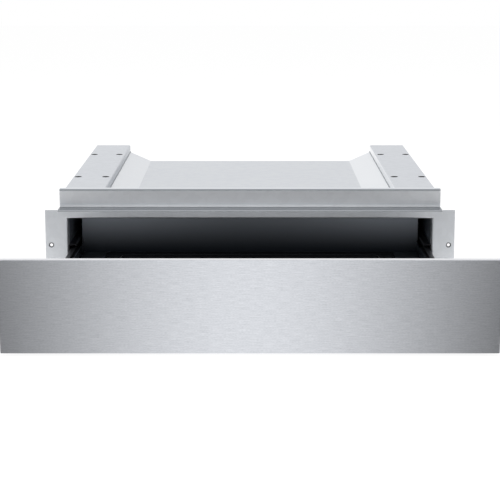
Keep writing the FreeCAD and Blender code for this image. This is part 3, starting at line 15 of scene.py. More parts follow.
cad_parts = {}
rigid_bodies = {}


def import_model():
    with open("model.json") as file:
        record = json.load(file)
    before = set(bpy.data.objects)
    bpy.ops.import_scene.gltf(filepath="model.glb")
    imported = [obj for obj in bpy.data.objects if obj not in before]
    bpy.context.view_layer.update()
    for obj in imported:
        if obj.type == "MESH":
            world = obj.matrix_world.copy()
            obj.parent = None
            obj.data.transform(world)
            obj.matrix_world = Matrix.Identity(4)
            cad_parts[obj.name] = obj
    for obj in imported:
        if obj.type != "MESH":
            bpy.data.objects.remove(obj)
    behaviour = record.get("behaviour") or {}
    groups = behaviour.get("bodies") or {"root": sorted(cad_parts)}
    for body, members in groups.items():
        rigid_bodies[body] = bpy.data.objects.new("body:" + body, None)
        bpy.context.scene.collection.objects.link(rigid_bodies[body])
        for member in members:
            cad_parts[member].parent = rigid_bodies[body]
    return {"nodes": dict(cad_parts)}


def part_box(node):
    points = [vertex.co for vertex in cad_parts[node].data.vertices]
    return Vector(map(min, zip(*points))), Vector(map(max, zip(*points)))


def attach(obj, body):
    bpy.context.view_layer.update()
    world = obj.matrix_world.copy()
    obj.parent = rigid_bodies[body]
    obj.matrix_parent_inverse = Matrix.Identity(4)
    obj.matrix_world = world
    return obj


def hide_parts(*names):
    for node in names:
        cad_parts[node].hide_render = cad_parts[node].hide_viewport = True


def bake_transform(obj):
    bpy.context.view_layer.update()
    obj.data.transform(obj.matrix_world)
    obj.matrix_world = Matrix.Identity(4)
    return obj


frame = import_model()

Shape = bmesh.types.BMesh
Socket = bpy.types.NodeSocket
Sockets = tuple[tuple[str, Any], ...]
Pair = tuple[float, float]
Triple = tuple[float, float, float]

LOG = logging.getLogger("warming_drawer")
MM = 0.001
TO_METRES = Matrix.Scale(MM, 4)
SHARP_ANGLE = math.radians(32.0)
FACE_REAR = Matrix.Rotation(math.radians(-90.0), 4, "X")
SAME_POINT = 0.001  # millimetres
SAME_STROKE = 1e-5  # share of a character's size
ROUND = 32  # sides of most round pieces
NEAR_FACE = 0.98  # share of a mat's half size beyond which a point lies on its face
NOISE_LOW, NOISE_HIGH = 0.3, 0.7  # most of a noise lies between these
SHARE, FIRST, SECOND, MIXED = 0, 2, 3, 0  # sockets of a Mix node for numbers
UNDER, OVER, BLENDED = 6, 7, 2  # its sockets for colours


class Body(Enum):
    """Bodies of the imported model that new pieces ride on."""

    CASE = "case"
    DRAWER = "drawer"
    KNOB = "knob"
    ROCKER = "rocker"


class Slot(Enum):
    """Material slots of the record. Nothing in this script gives a piece one of them."""

    SHEET = "galvanised_sheet"
    GLASS = "black_glass"
    SILICONE = "silicone"
    WOOL = "mineral_wool"
    PLASTIC = "black_plastic"
    RUBBER = "black_rubber"
    WHITE = "white_plastic"


class Rolling(Enum):
    """Grain of a rolled sheet, as its size along X, Y and Z in millimetres."""

    ACROSS = (27.0, 0.9, 0.9)
    ALONG = (0.9, 27.0, 0.9)


# ---------------------------------------------------------------- shading helpers
def linear(hex_colour: str) -> tuple[float, float, float, float]:
    """Turns a written sRGB colour into the linear values that the shader takes.

    Args:
        hex_colour: Colour as six hexadecimal digits, with or without a leading #.

    Returns:
        Linear red, green, blue and an alpha of 1.
    """
    digits = hex_colour.lstrip("#")
    channels = [int(digits[i:i + 2], 16) / 255 for i in (0, 2, 4)]
    red, green, blue = (c / 12.92 if c <= 0.04045 else ((c + 0.055) / 1.055) ** 2.4 for c in channels)
    return red, green, blue, 1.0


class Nodes:
    """Nodes of one material or world."""

    def __init__(self, owner: bpy.types.Material | bpy.types.World, shaded: bool = False) -> None:
        """Takes the nodes up.

        Args:
            owner: The material or world.
            shaded: Whether it keeps its surface shader; otherwise it starts empty.
        """
        owner.use_nodes = True
        self.tree = owner.node_tree
        if shaded:
            self.surface = self.tree.nodes["Principled BSDF"].inputs
        else:
            self.tree.nodes.clear()

    def add(self, kind: str, inputs: dict[str | int, Any] | None = None, **settings: Any) -> Sequence[Socket]:
        """Adds a node with its settings, values and links.

        Args:
            kind: Blender's name of the node type, without ShaderNode.
            inputs: Values, written colours or output sockets for the node's inputs, by name or number.
            settings: Attributes of the node.

        Returns:
            The outputs of the new node.
        """
        node = self.tree.nodes.new("ShaderNode" + kind)
        for name, value in settings.items():
            setattr(node, name, value)
        for socket, value in (inputs or {}).items():
            if isinstance(value, Socket):
                self.tree.links.new(value, node.inputs[socket])
            else:
                node.inputs[socket].default_value = linear(value) if isinstance(value, str) else value
        return node.outputs

    def lead(self, source: Socket, name: str) -> None:
        """Leads a socket into an input of the surface shader."""
        self.tree.links.new(source, self.surface[name])

    def cells(self, size_mm: float | Sequence[float]) -> Socket:
        """Gives object coordinates in which one unit is one cell of a pattern.

        Args:
            size_mm: Real size of a cell, or its sizes along X, Y and Z, in millimetres.

        Returns:
            The scaled coordinates.
        """
        sizes = (size_mm,) * 3 if isinstance(size_mm, float) else size_mm
        place = self.add("TexCoord")["Object"]
        return self.add("Mapping", {"Vector": place, "Scale": [1 / (size * MM) for size in sizes]})[0]


@dataclass(frozen=True)
class Grains:
    """A noise whose grains have a real size.

    Attributes:
        size_mm: Size of a grain, or its sizes along X, Y and Z, in millimetres.
        detail: Octaves of finer noise.
        rough: Weight of those octaves.
    """

    size_mm: float | Triple
    detail: float = 2.0
    rough: float = 0.5

    def add(self, nodes: Nodes) -> Socket:
        """Adds the noise to a finish.

        Args:
            nodes: Nodes of its material.

        Returns:
            The noise, from 0 to 1.
        """
        inputs = {"Vector": nodes.cells(self.size_mm), "Scale": 1.0, "Detail": self.detail,
                  "Roughness": self.rough}
        return nodes.add("TexNoise", inputs)["Fac"]


# ---------------------------------------------------------------- finishes
@dataclass(frozen=True)
class FaceTone:
    """Another tone, and perhaps another gloss, on the faces of one direction.

    Along its axis, the tone sets in where the face's normal reaches start, and has its whole share at full.
    Both are negative for faces that look the other way. The tone is painted light or shade on the faces of
    that direction.
    """

    axis: str
    start: float
    full: float
    share: float
    tone: str
    roughness: float | None = None


@dataclass(frozen=True)
class Finish:
    """A material and how its surface was made.

    Attributes:
        shade: A second tone, which its pattern mixes in.
        roughness: Lowest and highest roughness.
        faces: Painted light and shade, as tones of faces of one direction that differ from the rest.
        tone: Grains that mix the second tone in.
        wear: Grains that move the roughness.
        height: Grains of the relief, or None on a smooth surface.
        depth_mm: Real depth of the relief, of which bump is the share that is used.
        sockets: Shader inputs that are the same all over, with their values.
    """

    name: str
    colour: str
    shade: str
    roughness: Pair
    metallic: float = 0.0
    faces: tuple[FaceTone, ...] = ()
    tone: Grains | None = None
    wear: Grains | None = None
    height: Grains | None = None
    depth_mm: float = 0.0
    bump: float = 0.5
    sockets: Sockets = ()

    @cache
    def material(self) -> bpy.types.Material:
        """Builds the material when it is first wanted.

        Returns:
            The one material of this finish, with its pattern.
        """
        material = bpy.data.materials.new(self.name)
        nodes = Nodes(material, shaded=True)
        for socket, value in (("Metallic", self.metallic), *self.sockets):
            nodes.surface[socket].default_value = value
        self.pattern(nodes)
        for face in self.faces:
            self.turn(nodes, face)
        material.diffuse_color = linear(self.colour)
        return material

    def pattern(self, nodes: Nodes) -> None:
        """Adds the grains of this finish; one that has more than grains adds its own pattern.

        Args:
            nodes: Nodes of its material.
        """
        grains = dict.fromkeys((self.tone, self.wear, self.height))
        made = {grain: grain.add(nodes) for grain in grains if grain is not None}
        self.vary(nodes, made[self.tone], made[self.wear], made.get(self.height))

    def vary(self, nodes: Nodes, tone: Socket, wear: Socket, height: Socket | None = None) -> None:
        """Lets patterns vary the colour, the roughness and the relief.

        Args:
            nodes: Nodes of its material.
            tone: Noise that mixes the second tone in.
            wear: Noise that moves the roughness.
            height: Noise of the relief, if there is one.
        """
        share, gloss = (nodes.add("MapRange", {
            "Value": amount, "From Min": NOISE_LOW, "From Max": NOISE_HIGH, "To Min": low, "To Max": high})[0]
            for amount, (low, high) in ((tone, (0.0, 1.0)), (wear, self.roughness)))
        self.overlay(nodes, share, self.shade)
        nodes.lead(gloss, "Roughness")
        if height is not None:
            relief = nodes.add("Bump", {
                "Height": height, "Distance": self.depth_mm * MM, "Strength": self.bump})
            nodes.lead(relief["Normal"], "Normal")

    def overlay(self, nodes: Nodes, share: Socket, tone: str) -> None:
        """Lays a tone over the colour of the finish, or over the pattern that is already there.

        Args:
            nodes: Nodes of its material.
            share: Share of the tone, from 0 to 1.
            tone: Its written colour.
        """
        base = nodes.surface["Base Color"]
        under = base.links[0].from_socket if base.links else self.colour
        inputs = {SHARE: share, UNDER: under, OVER: tone}
        nodes.lead(nodes.add("Mix", inputs, data_type="RGBA")[BLENDED], "Base Color")

    def turn(self, nodes: Nodes, face: FaceTone) -> None:
        """Paints light or shade, as tone and gloss, on the faces of one direction, whatever the view.

        Args:
            nodes: Nodes of its material, with its pattern.
            face: The direction and what changes there.
        """
        normal = nodes.add("SeparateXYZ", {"Vector": nodes.add("NewGeometry")["Normal"]})
        inputs = {"Value": normal[face.axis], "From Min": face.start, "From Max": face.full,
                  "To Max": face.share}
        share = nodes.add("MapRange", inputs)[0]
        self.overlay(nodes, share, face.tone)
        if face.roughness is not None:
            gloss = nodes.surface["Roughness"].links[0].from_socket
            inputs = {SHARE: share, FIRST: gloss, SECOND: face.roughness}
            nodes.lead(nodes.add("Mix", inputs)[MIXED], "Roughness")


@dataclass(frozen=True)
class BrushedSteel(Finish):
    """Stainless steel, belt-brushed from side to side.

    The brush lines of 0.1 mm are too fine to show, so they are drawn 0.9 mm apart, as long lines with short
    scratches among them. They stretch every reflection upwards and downwards, so the light stands on the
    front as one soft upright glow.
    """

    wear: Grains = Grains((16.0, 0.9, 0.9), 3.0, 0.6)
    scratches: Grains = Grains((2.6, 0.9, 0.9), 0.0)
    scratch_share: float = 0.3
    depth_mm: float = 0.012
    sockets: Sockets = (("Anisotropic", 0.9),)

    def pattern(self, nodes: Nodes) -> None:
        """Adds the brush lines to colour, gloss and relief, and turns the gloss along them.

        Args:
            nodes: Nodes of its material.
        """
        lines = self.wear.add(nodes)
        inputs = {SHARE: self.scratch_share, FIRST: lines, SECOND: self.scratches.add(nodes)}
        both = nodes.add("Mix", inputs)[MIXED]
        self.vary(nodes, both, lines, both)
        nodes.lead(nodes.add("Tangent", direction_type="RADIAL", axis="X")[0], "Tangent")


@dataclass(frozen=True)
class GalvanisedSteel(Finish):
    """Steel sheet, hot-dip galvanised and skin-passed to an even satin.

    What is left of the zinc's spangle is a faint change of tone in patches of about 9 mm, and the rolls
    leave a fine grain, so broad surfaces look soft and slightly blue.

    Attributes:
        glance: Share of the metal's shine that is left at a glancing view.
    """

    roughness: Pair = (0.44, 0.50)
    metallic: float = 1.0
    spangle_mm: float = 9.0
    rolling: Rolling = Rolling.ACROSS
    # A glance under 1 cuts the shine at a glancing view and darkens the metal there: painted shade.
    glance: float = 1.0
    depth_mm: float = 0.006

    def pattern(self, nodes: Nodes) -> None:
        """Adds the spangle to the tone and the rolling grain to gloss and relief.

        Args:
            nodes: Nodes of its material.
        """
        inputs = {"Vector": nodes.cells(self.spangle_mm), "Scale": 1.0, "Smoothness": 0.4}
        patches = nodes.add("TexVoronoi", inputs, feature="SMOOTH_F1")
        value = nodes.add("SeparateColor", {"Color": patches["Color"]})
        rolled = Grains(self.rolling.value).add(nodes)
        self.vary(nodes, value["Red"], rolled, rolled)
        nodes.surface["Specular Tint"].default_value = (self.glance,) * 3 + (1.0,)


@dataclass(frozen=True)
class ZincPlate(Finish):
    """Cold-rolled steel with a bright blue-passivated zinc plating.

    The plating is glossier than sheet zinc. The rolled profile shows as long lines along the slide, and the
    passivation clouds in patches of about 22 mm.
    """

    tone: Grains = Grains(22.0, 3.0)
    wear: Grains = Grains((0.6, 48.0, 0.6))
    height: Grains = wear
    depth_mm: float = 0.008
    bump: float = 0.6


@dataclass(frozen=True)
class VitreousEnamel(Finish):
    """Vitreous enamel, sprayed and fired on steel.

    It runs into a slight orange peel of about 3 mm, which breaks reflections up, under a glassy shine.
    """

    tone: Grains = Grains(36.0, 3.0)
    wear: Grains = tone
    height: Grains = Grains(3.0, 1.0)
    depth_mm: float = 0.006
    sockets: Sockets = (("IOR", 1.52), ("Coat Weight", 1.0), ("Coat Roughness", 0.18))


@dataclass(frozen=True)
class ShadedEnamel(VitreousEnamel):
    """Dull black enamel of the drawer's rear wall, greyer towards its upper edge and corners.

    The grey stands for the light that reaches the wall only over its upper edge. It is
    full over the height grey_above and at the distance corner_x from the middle, both in metres.
    """

    sockets: Sockets = (("IOR", 1.52), ("Specular IOR Level", 0.12))
    grey: str = "#D6DDE8"
    black_below: float = 0.030
    grey_above: float = 0.094
    centre_share: float = 0.74
    corner_x: float = 0.24
    falloff: float = 1.6

    def pattern(self, nodes: Nodes) -> None:
        """Adds the enamel's own pattern, and the grey towards the upper edge and its corners.

        Args:
            nodes: Nodes of its material.
        """
        super().pattern(nodes)
        parts = nodes.add("SeparateXYZ", {"Vector": nodes.add("TexCoord")["Object"]})
        rise = nodes.add("MapRange", {
            "Value": parts["Z"], "From Min": self.black_below, "From Max": self.grey_above})
        side = nodes.add("Math", {0: parts["X"]}, operation="ABSOLUTE")
        inputs = {"Value": side[0], "From Max": self.corner_x, "To Min": self.centre_share}
        corner = nodes.add("MapRange", inputs, interpolation_type="SMOOTHSTEP")
        share = nodes.add("Math", {0: rise[0], 1: corner[0]}, operation="MULTIPLY")
        fade = nodes.add("Math", {0: share[0], 1: self.falloff}, operation="POWER")
        self.overlay(nodes, fade[0], self.grey)


@dataclass(frozen=True)
class CeramicGlass(Finish):
    """Black glass-ceramic plate, rolled, with a fire-polished face.

    It is as smooth as a mirror, but a faint bloom from wiping dulls it in wide patches.
    """

    tone: Grains = Grains((110.0, 55.0, 55.0), 4.0)
    wear: Grains = tone
    sockets: Sockets = (("IOR", 1.54),)


@dataclass(frozen=True)
class NeedledWool(Finish):
    """Glass-fibre wool, needled into a firm mat.

    Fibres lie every way in the mat's plane, so it looks matt and felted, with paler and darker tufts.
    """

    fibre_mm: float = 1.4
    fibre_length_mm: float = 12.6
    tone: Grains = Grains(7.0)
    depth_mm: float = 0.5
    bump: float = 0.8
    sockets: Sockets = (("Sheen Weight", 0.25), ("Sheen Roughness", 0.5))

    def pattern(self, nodes: Nodes) -> None:
        """Adds two crossing directions of fibre and the tufts.

        Args:
            nodes: Nodes of its material.
        """
        long, thin = self.fibre_length_mm, self.fibre_mm
        one_way = Grains((long, thin, thin), 3.0).add(nodes)
        other_way = Grains((thin, long, thin), 3.0).add(nodes)
        felt = nodes.add("Math", {0: one_way, 1: other_way}, operation="MAXIMUM")[0]
        self.vary(nodes, self.tone.add(nodes), felt, felt)


@dataclass(frozen=True)
class SheathedElement(Finish):
    """Nickel-alloy heater sheath, drawn, annealed and oxidised by use.

    The oxide is a dark olive grey in uneven bands, with brown where the tube ran hotter.
    """

    tone: Grains = Grains(14.0, 4.0, 0.6)
    wear: Grains = Grains(0.5)
    height: Grains = wear
    depth_mm: float = 0.02


@dataclass(frozen=True)
class MouldedPlastic(Finish):
    """Glass-filled polyamide or ABS, injection-moulded in a spark-eroded tool.

    The tool's fine grit, drawn 0.6 mm wide, takes the hard edge off every highlight.
    """

    tone: Grains = Grains(16.0, 3.0)
    wear: Grains = Grains(0.6)
    height: Grains = wear
    depth_mm: float = 0.012
    bump: float = 0.6
    sockets: Sockets = (("IOR", 1.53),)


@dataclass(frozen=True)
class CuredRubber(Finish):
    """Rubber or silicone, extruded or moulded, with a dry talc bloom.

    It is nearly matt, with a soft pale bloom in small clouds.
    """

    tone: Grains = Grains(5.0, 4.0, 0.6)
    wear: Grains = tone
    height: Grains = Grains(0.5, 1.0)
    depth_mm: float = 0.02
    sockets: Sockets = (("IOR", 1.42),)


@dataclass(frozen=True)
class PilotLens(Finish):
    """Amber polycarbonate lens, moulded clear and lightly diffusing.

    Light gets a few millimetres in, so the dome is deep orange with a wet highlight.
    """

    tone: Grains = Grains(1.0, 0.0)
    wear: Grains = tone
    height: Grains = tone
    depth_mm: float = 0.04
    bump: float = 0.4
    sockets: Sockets = (("Transmission Weight", 0.35), ("IOR", 1.585), ("Coat Weight", 0.3))


@dataclass(frozen=True)
class PrintedMark(Finish):
    """Pad-printed or screen-printed ink.

    The layer is a few hundredths of a millimetre thick and matt, a little thin in places.
    """

    tone: Grains = Grains(0.8)
    wear: Grains = tone


# The lighter tone on the front's upward faces is a painted highlight along its top edge.
BRUSHED = BrushedSteel("stainless_steel_brushed", "#D9DBE0", "#BFC2C7", (0.31, 0.35), 1.0,
                       (FaceTone("Z", 0.5, 0.9, 1.0, "#E8E9EC"),))
SHEET = GalvanisedSteel("galvanised_steel_satin", "#D4D7DC", "#D1D4D9")
SHEET_ALONG = GalvanisedSteel("galvanised_steel_satin_along", "#D4D7DC", "#D1D4D9", rolling=Rolling.ALONG)
# Lit copy of the rail sheet: the web that faces left is lighter and glossier, as painted light from the left.
RIGHT_RAIL_PAINTED_LIGHT = GalvanisedSteel("galvanised_steel_right_rail_painted_light", "#D4D7DC", "#D1D4D9", rolling=Rolling.ALONG,
                             faces=(FaceTone("X", -0.7, -0.95, 1.0, "#F6F7F9", 0.4),))
# Lit and shaded copy of the sheet: lighter than SHEET as painted light, with painted shade as a dark tone on
# its bends and a darker, glossier tone on its ledge, and with its glancing shine cut.
FRAME_SHEET_PAINTED_LIGHT_AND_SHADE = GalvanisedSteel("galvanised_steel_frame_painted_light_and_shade", "#E9ECF0", "#E6E9ED", glance=0.6,
                              faces=(FaceTone("Z", 0.0, 0.12, 0.70, "#7C8187"),
                                     FaceTone("Z", 0.9, 0.99, 1.0, "#AAAEB4", 0.16)))
# Lit and shaded copy of the sheet: lighter than SHEET as painted light on the crossbar's face, with a painted
# shade line on its upper bend and a less bright top.
CROSSBAR_SHEET_PAINTED_LIGHT_AND_SHADE = GalvanisedSteel("galvanised_steel_crossbar_painted_light_and_shade", "#F0F2F5", "#EDEFF2",
                                 faces=(FaceTone("Z", 0.0, 0.12, 1.0, "#9CA0A5"),
                                        FaceTone("Z", 0.9, 0.99, 1.0, "#E3E6EA")))
# Lit copy of the sheet, lighter than SHEET: painted light on the crossbar's foot.
FLARE_SHEET_PAINTED_LIGHT = GalvanisedSteel("galvanised_steel_flared_foot_painted_light", "#E6E9ED", "#E3E6EA")
# The lighter tone on the cover's sloping flanks is painted light, stronger on the flank that faces left.
COVER_PAINTED_LIGHT = GalvanisedSteel("galvanised_steel_sunken_cover_painted_light", "#D6D9DD", "#D3D6DB",
                        faces=(FaceTone("X", 0.1, 0.38, 0.60, "#ECEEF1"),
                               FaceTone("X", -0.1, -0.38, 0.90, "#ECEEF1")))
ZINC = ZincPlate("zinc_plated_steel", "#C3C8CF", "#B7BDC8", (0.22, 0.34), 1.0)
BLACK_ZINC = ZincPlate("black_passivated_zinc", "#1C1D20", "#25262B", (0.34, 0.46), 0.6)
ENAMEL = VitreousEnamel("black_enamel_fired", "#1B2026", "#1F242B", (0.30, 0.38))
# The liner's grey is painted light: a tone lighter than the dark cavity, so that the deep shade in the gap
# beside the drawer reads lighter.
LINER_ENAMEL_PAINTED_LIGHT = VitreousEnamel("grey_enamel_painted_light", "#8F98A4", "#939CA8", (0.34, 0.42))
WALL_ENAMEL = ShadedEnamel("black_enamel_greyer_above", "#191F26", "#1B2129", (0.44, 0.5))
GLASS = CeramicGlass("black_glass_ceramic", "#060708", "#090A0C", (0.03, 0.09))
WOOL = NeedledWool("needled_glass_wool", "#D9D5C8", "#BDB7A4", (0.85, 0.98))
ELEMENT = SheathedElement("oxidised_heater_sheath", "#5B5A53", "#46403A", (0.38, 0.55), 0.85)
PLASTIC = MouldedPlastic("black_polyamide_moulded", "#1B1C1F", "#232427", (0.42, 0.55))
# Near-black matt plastic of the sleeves that stand for the shade inside the rails' holes.
HOLE_SHADE_BLACK = MouldedPlastic("black_painted_hole_shade", "#060607", "#08080A", (0.60, 0.70))
KNOB_PLASTIC = MouldedPlastic("anthracite_abs_moulded", "#2A2B2E", "#2F3033", (0.30, 0.40), depth_mm=0.006)
WHITE_PLASTIC = MouldedPlastic("white_polyamide_moulded", "#E4E1D8", "#DAD6CB", (0.40, 0.52))
SILICONE = CuredRubber("grey_silicone_extruded", "#3A3C3F", "#4A4C4F", (0.52, 0.66))
PALE_GREY_SHADE_BEAD = CuredRubber("pale_grey_painted_shade_bead", "#95999D", "#9EA2A6", (0.50, 0.60))
RUBBER = CuredRubber("black_rubber_cured", "#161617", "#212122", (0.60, 0.74))
LENS = PilotLens("amber_polycarbonate", "#E08A14", "#C96F08", (0.08, 0.16))
PRINT = PrintedMark("white_printed_ink", "#D5D7D9", "#C3C6C9", (0.55, 0.70))
GREY_PRINT = PrintedMark("dark_grey_printed_ink", "#3A3C3F", "#333538", (0.55, 0.70))


# ---------------------------------------------------------------- making pieces
def in_scene(name: str, data: bpy.types.ID) -> bpy.types.Object:
    """Puts a new object with its data into the scene.

    Args:
        name: Name of the object.
        data: Its mesh, curve, lamp or camera.

    Returns:
        The object.
    """
    made = bpy.data.objects.new(name, data)
    bpy.context.scene.collection.objects.link(made)
    return made


def settled(name: str, shapes: Sequence[Shape], body: Body | None, finish: Finish,
            smooth: bool = True) -> bpy.types.Object:
    """Gathers shapes into one finished piece.

    Args:
        name: Name of the piece.
        shapes: The shapes, in millimetres and in their places; they are freed.
        body: Body that the piece rides on, or None to put it on no body.
        finish: Its finish.
        smooth: Whether faces under the sharp angle are shaded as one.

    Returns:
        The piece, in metres and at the origin.
    """
    mesh = bpy.data.meshes.new(name)
    whole = bmesh.new()
    for shape in shapes:
        shape.to_mesh(mesh)
        shape.free()
        whole.from_mesh(mesh)
    bmesh.ops.transform(whole, matrix=TO_METRES, verts=whole.verts)
    bmesh.ops.recalc_face_normals(whole, faces=whole.faces[:])
    whole.to_mesh(mesh)
    whole.free()
    mesh.materials.append(finish.material())
    if smooth:
        mesh.shade_smooth()
        mesh.set_sharp_from_angle(angle=SHARP_ANGLE)
    piece = in_scene(name, mesh)
    if body is not None:
        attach(piece, body.value)
    LOG.info("piece %s: %d faces, %s", name, len(mesh.polygons), finish.name)
    return piece


def bar(low: Sequence[float], high: Sequence[float], round_mm: float = 0.0) -> Shape:
    """Makes a block between two corners.

    Args:
        low: Lowest corner.
        high: Highest corner.
        round_mm: Radius of the edges, if they are rounded.

    Returns:
        The block.
    """
    shape = bmesh.new()
    low, high = Vector(low), Vector(high)
    bmesh.ops.create_cube(shape, size=1.0, matrix=Matrix.LocRotScale((low + high) / 2, None, high - low))
    if round_mm:
        bmesh.ops.bevel(shape, geom=shape.edges[:], offset=round_mm, segments=3, profile=0.5,
                        affect="EDGES", material=-1)
    return shape


def disc(radius: float, height: float, round_mm: float, place: Matrix, sides: int = ROUND) -> Shape:
    """Makes a round pad that stands on z = 0 and moves it to its place.

    Args:
        radius: Radius of the pad.
        height: Height of the pad.
        round_mm: Radius of its upper edge.
        place: Where it goes.
        sides: Number of sides.

    Returns:
        The pad.
    """
    shape = bmesh.new()
    bmesh.ops.create_cone(shape, cap_ends=True, segments=sides, radius1=radius, radius2=radius, depth=height,
                          matrix=Matrix.Translation((0, 0, height / 2)))
    rim = [edge for edge in shape.edges if all(vert.co.z > height / 2 for vert in edge.verts)]
    bmesh.ops.bevel(shape, geom=rim, offset=round_mm, segments=4, profile=0.5, affect="EDGES", material=-1)
    bmesh.ops.transform(shape, matrix=place, verts=shape.verts)
    return shape


def ring(profile: Sequence[Pair], place: Matrix) -> Shape:
    """Spins a closed profile round the Z axis and moves the ring to its place.

    Args:
        profile: Corners of the profile, each a radius and a height.
        place: Where it goes.

    Returns:
        The ring.
    """
    shape = bmesh.new()
    line = [shape.verts.new((radius, 0.0, height)) for radius, height in profile]
    edges = [shape.edges.new(pair) for pair in zip(line, line[1:] + line[:1])]
    bmesh.ops.spin(shape, geom=line + edges, cent=(0, 0, 0), axis=(0, 0, 1), angle=2 * math.pi, steps=ROUND,
                   use_merge=True)
    bmesh.ops.transform(shape, matrix=place, verts=shape.verts)
    return shape


def swept(shape: Shape, extrusion: dict[str, Any], way: Sequence[float]) -> None:
    """Moves what an extrusion has added.

    Args:
        shape: The shape.
        extrusion: Result of the extrusion.
        way: How far it moves.
    """
    moved = [item for item in extrusion["geom"] if isinstance(item, bmesh.types.BMVert)]
    bmesh.ops.translate(shape, vec=way, verts=moved)


def from_curve(curve: bpy.types.Curve, same: float = SAME_POINT) -> Shape:
    """Turns a curve or a text into a shape, and removes it.

    Args:
        curve: The curve or text.
        same: Distance under which two points are one.

    Returns:
        The shape.
    """
    holder = in_scene("line", curve)
    bpy.context.view_layer.update()
    mesh = bpy.data.meshes.new_from_object(holder.evaluated_get(bpy.context.evaluated_depsgraph_get()))
    shape = bmesh.new()
    shape.from_mesh(mesh)
    bpy.data.batch_remove((mesh, holder, curve))
    bmesh.ops.remove_doubles(shape, verts=shape.verts, dist=same)
    return shape


def lettering(text: str, height: float, thickness: float, place: Matrix) -> Shape:
    """Makes a centred line of plain characters.

    Args:
        text: The characters.
        height: Height of a figure.
        thickness: Thickness of the ink.
        place: Where its middle goes.

    Returns:
        The characters.
    """
    curve = bpy.data.curves.new("figures", "FONT")
    curve.body = text
    curve.extrude = 0.5  # to both sides, so the scale below is the thickness
    curve.resolution_u = 4
    shape = from_curve(curve, SAME_STROKE)
    low, high = (Vector([pick(vert.co[i] for vert in shape.verts) for i in range(3)]) for pick in (min, max))
    scale = height / (high.y - low.y)
    centred = Matrix.Diagonal((scale, scale, thickness, 1.0)) @ Matrix.Translation(-(low + high) / 2)
    bmesh.ops.transform(shape, matrix=place @ centred, verts=shape.verts)
    return shape


def box_mm(node: str) -> tuple[Vector, Vector]:
    """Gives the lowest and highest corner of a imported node, in millimetres."""
    low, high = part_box(node)
    return low / MM, high / MM


# ---------------------------------------------------------------- sub-assemblies
@dataclass
class WoolMat:
    """Needled mat that fills the room of a packed blanket. Sizes in millimetres.

    Attributes:
        node: The blanket that it stands for.
        swell: Height of the mat's lumps, and lump is their width.
        cell: Length of a mesh cell.
        gap: Clearance round the mat.
        soften: How far an edge of the mat is pulled in; a corner is pulled in further.
    """

    node: str
    body: Body
    swell: float = 0.5
    soften: float = 0.24
    cell: float = 7.0
    lump: float = 24.0
    gap: float = 0.1

    def block(self, low: Vector, high: Vector) -> Shape:
        """Makes a block cut into cells.

        Args:
            low: Lowest corner.
            high: Highest corner.

        Returns:
            The block.
        """
        shape = bar(low, high)
        for axis in range(3):
            along = [edge for edge in shape.edges
                     if abs((edge.verts[0].co - edge.verts[1].co)[axis]) > edge.calc_length() - SAME_POINT]
            cuts = max(1, round((high - low)[axis] / self.cell) - 1)
            bmesh.ops.subdivide_edges(shape, edges=along, cuts=cuts, use_grid_fill=True)
        return shape

    def build(self) -> None:
        """Adds the mat: the block with its edges pulled in and its faces made lumpy."""
        low, high = box_mm(self.node)
        margin = Vector([self.swell / 2 + self.gap] * 3)
        low, high = low + margin, high - margin
        shape = self.block(low, high)
        middle, half = (low + high) / 2, (high - low) / 2
        for vert in shape.verts:
            offset = vert.co - middle
            for axis in range(3):
                rims = [half[a] - abs(offset[a]) < SAME_POINT for a in range(3)]
                others = sum(rims) - rims[axis]
                if rims[axis] and others:
                    offset[axis] -= math.copysign(self.soften * others, offset[axis])
            lift = noise.noise(vert.co / self.lump) * self.swell / 2
            vert.co = middle + offset + Vector([
                math.copysign(1.0, part) * lift if abs(part) > edge * NEAR_FACE else 0.0
                for part, edge in zip(offset, half)])
        mat = settled(f"{self.node}_mat", [shape], self.body, WOOL)
        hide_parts(self.node)


class SubAssembly:
    """A sub-assembly: pieces that it adds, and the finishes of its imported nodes."""

    FINISHES: dict[Finish, tuple[str, ...]] = {}

    def build(self) -> None:
        """Adds its pieces; some sub-assemblies have none."""

    def dress(self) -> None:
        """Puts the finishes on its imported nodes."""
        for finish, names in self.FINISHES.items():
            for name in names:
                node = frame["nodes"][name]
                if not node.material_slots:
                    node.data.materials.append(finish.material())
                for slot in node.material_slots:
                    slot.material = finish.material()
                LOG.info("node %s: %s", name, finish.name)


@dataclass
class FrontUnit(SubAssembly):
    """The drawer's front: brushed skin, folded backing, mat, seal and stop buffers. Sizes in millimetres."""

    FINISHES = {BRUSHED: ("front_panel",),
                SHEET: ("front_backing", "left_front_bracket", "right_front_bracket"),
                SILICONE: ("front_seal",)}

    buffer_radius: float = 3.6
    buffer_height: float = 2.0
    buffer_round: float = 1.1
    buffer_x: float = 280.0
    buffer_heights: Pair = (16.0, 96.0)

    def build(self) -> None:
        """Adds the stop buffers and the mat."""
        rear = box_mm("front_backing")[1].y
        pads = [disc(self.buffer_radius, self.buffer_height, self.buffer_round,
                     Matrix.Translation((side * self.buffer_x, rear, z)) @ FACE_REAR)
                for side in (-1, 1) for z in self.buffer_heights]
        settled("stop_buffers", pads, Body.DRAWER, RUBBER)
        WoolMat("front_insulation", Body.DRAWER).build()


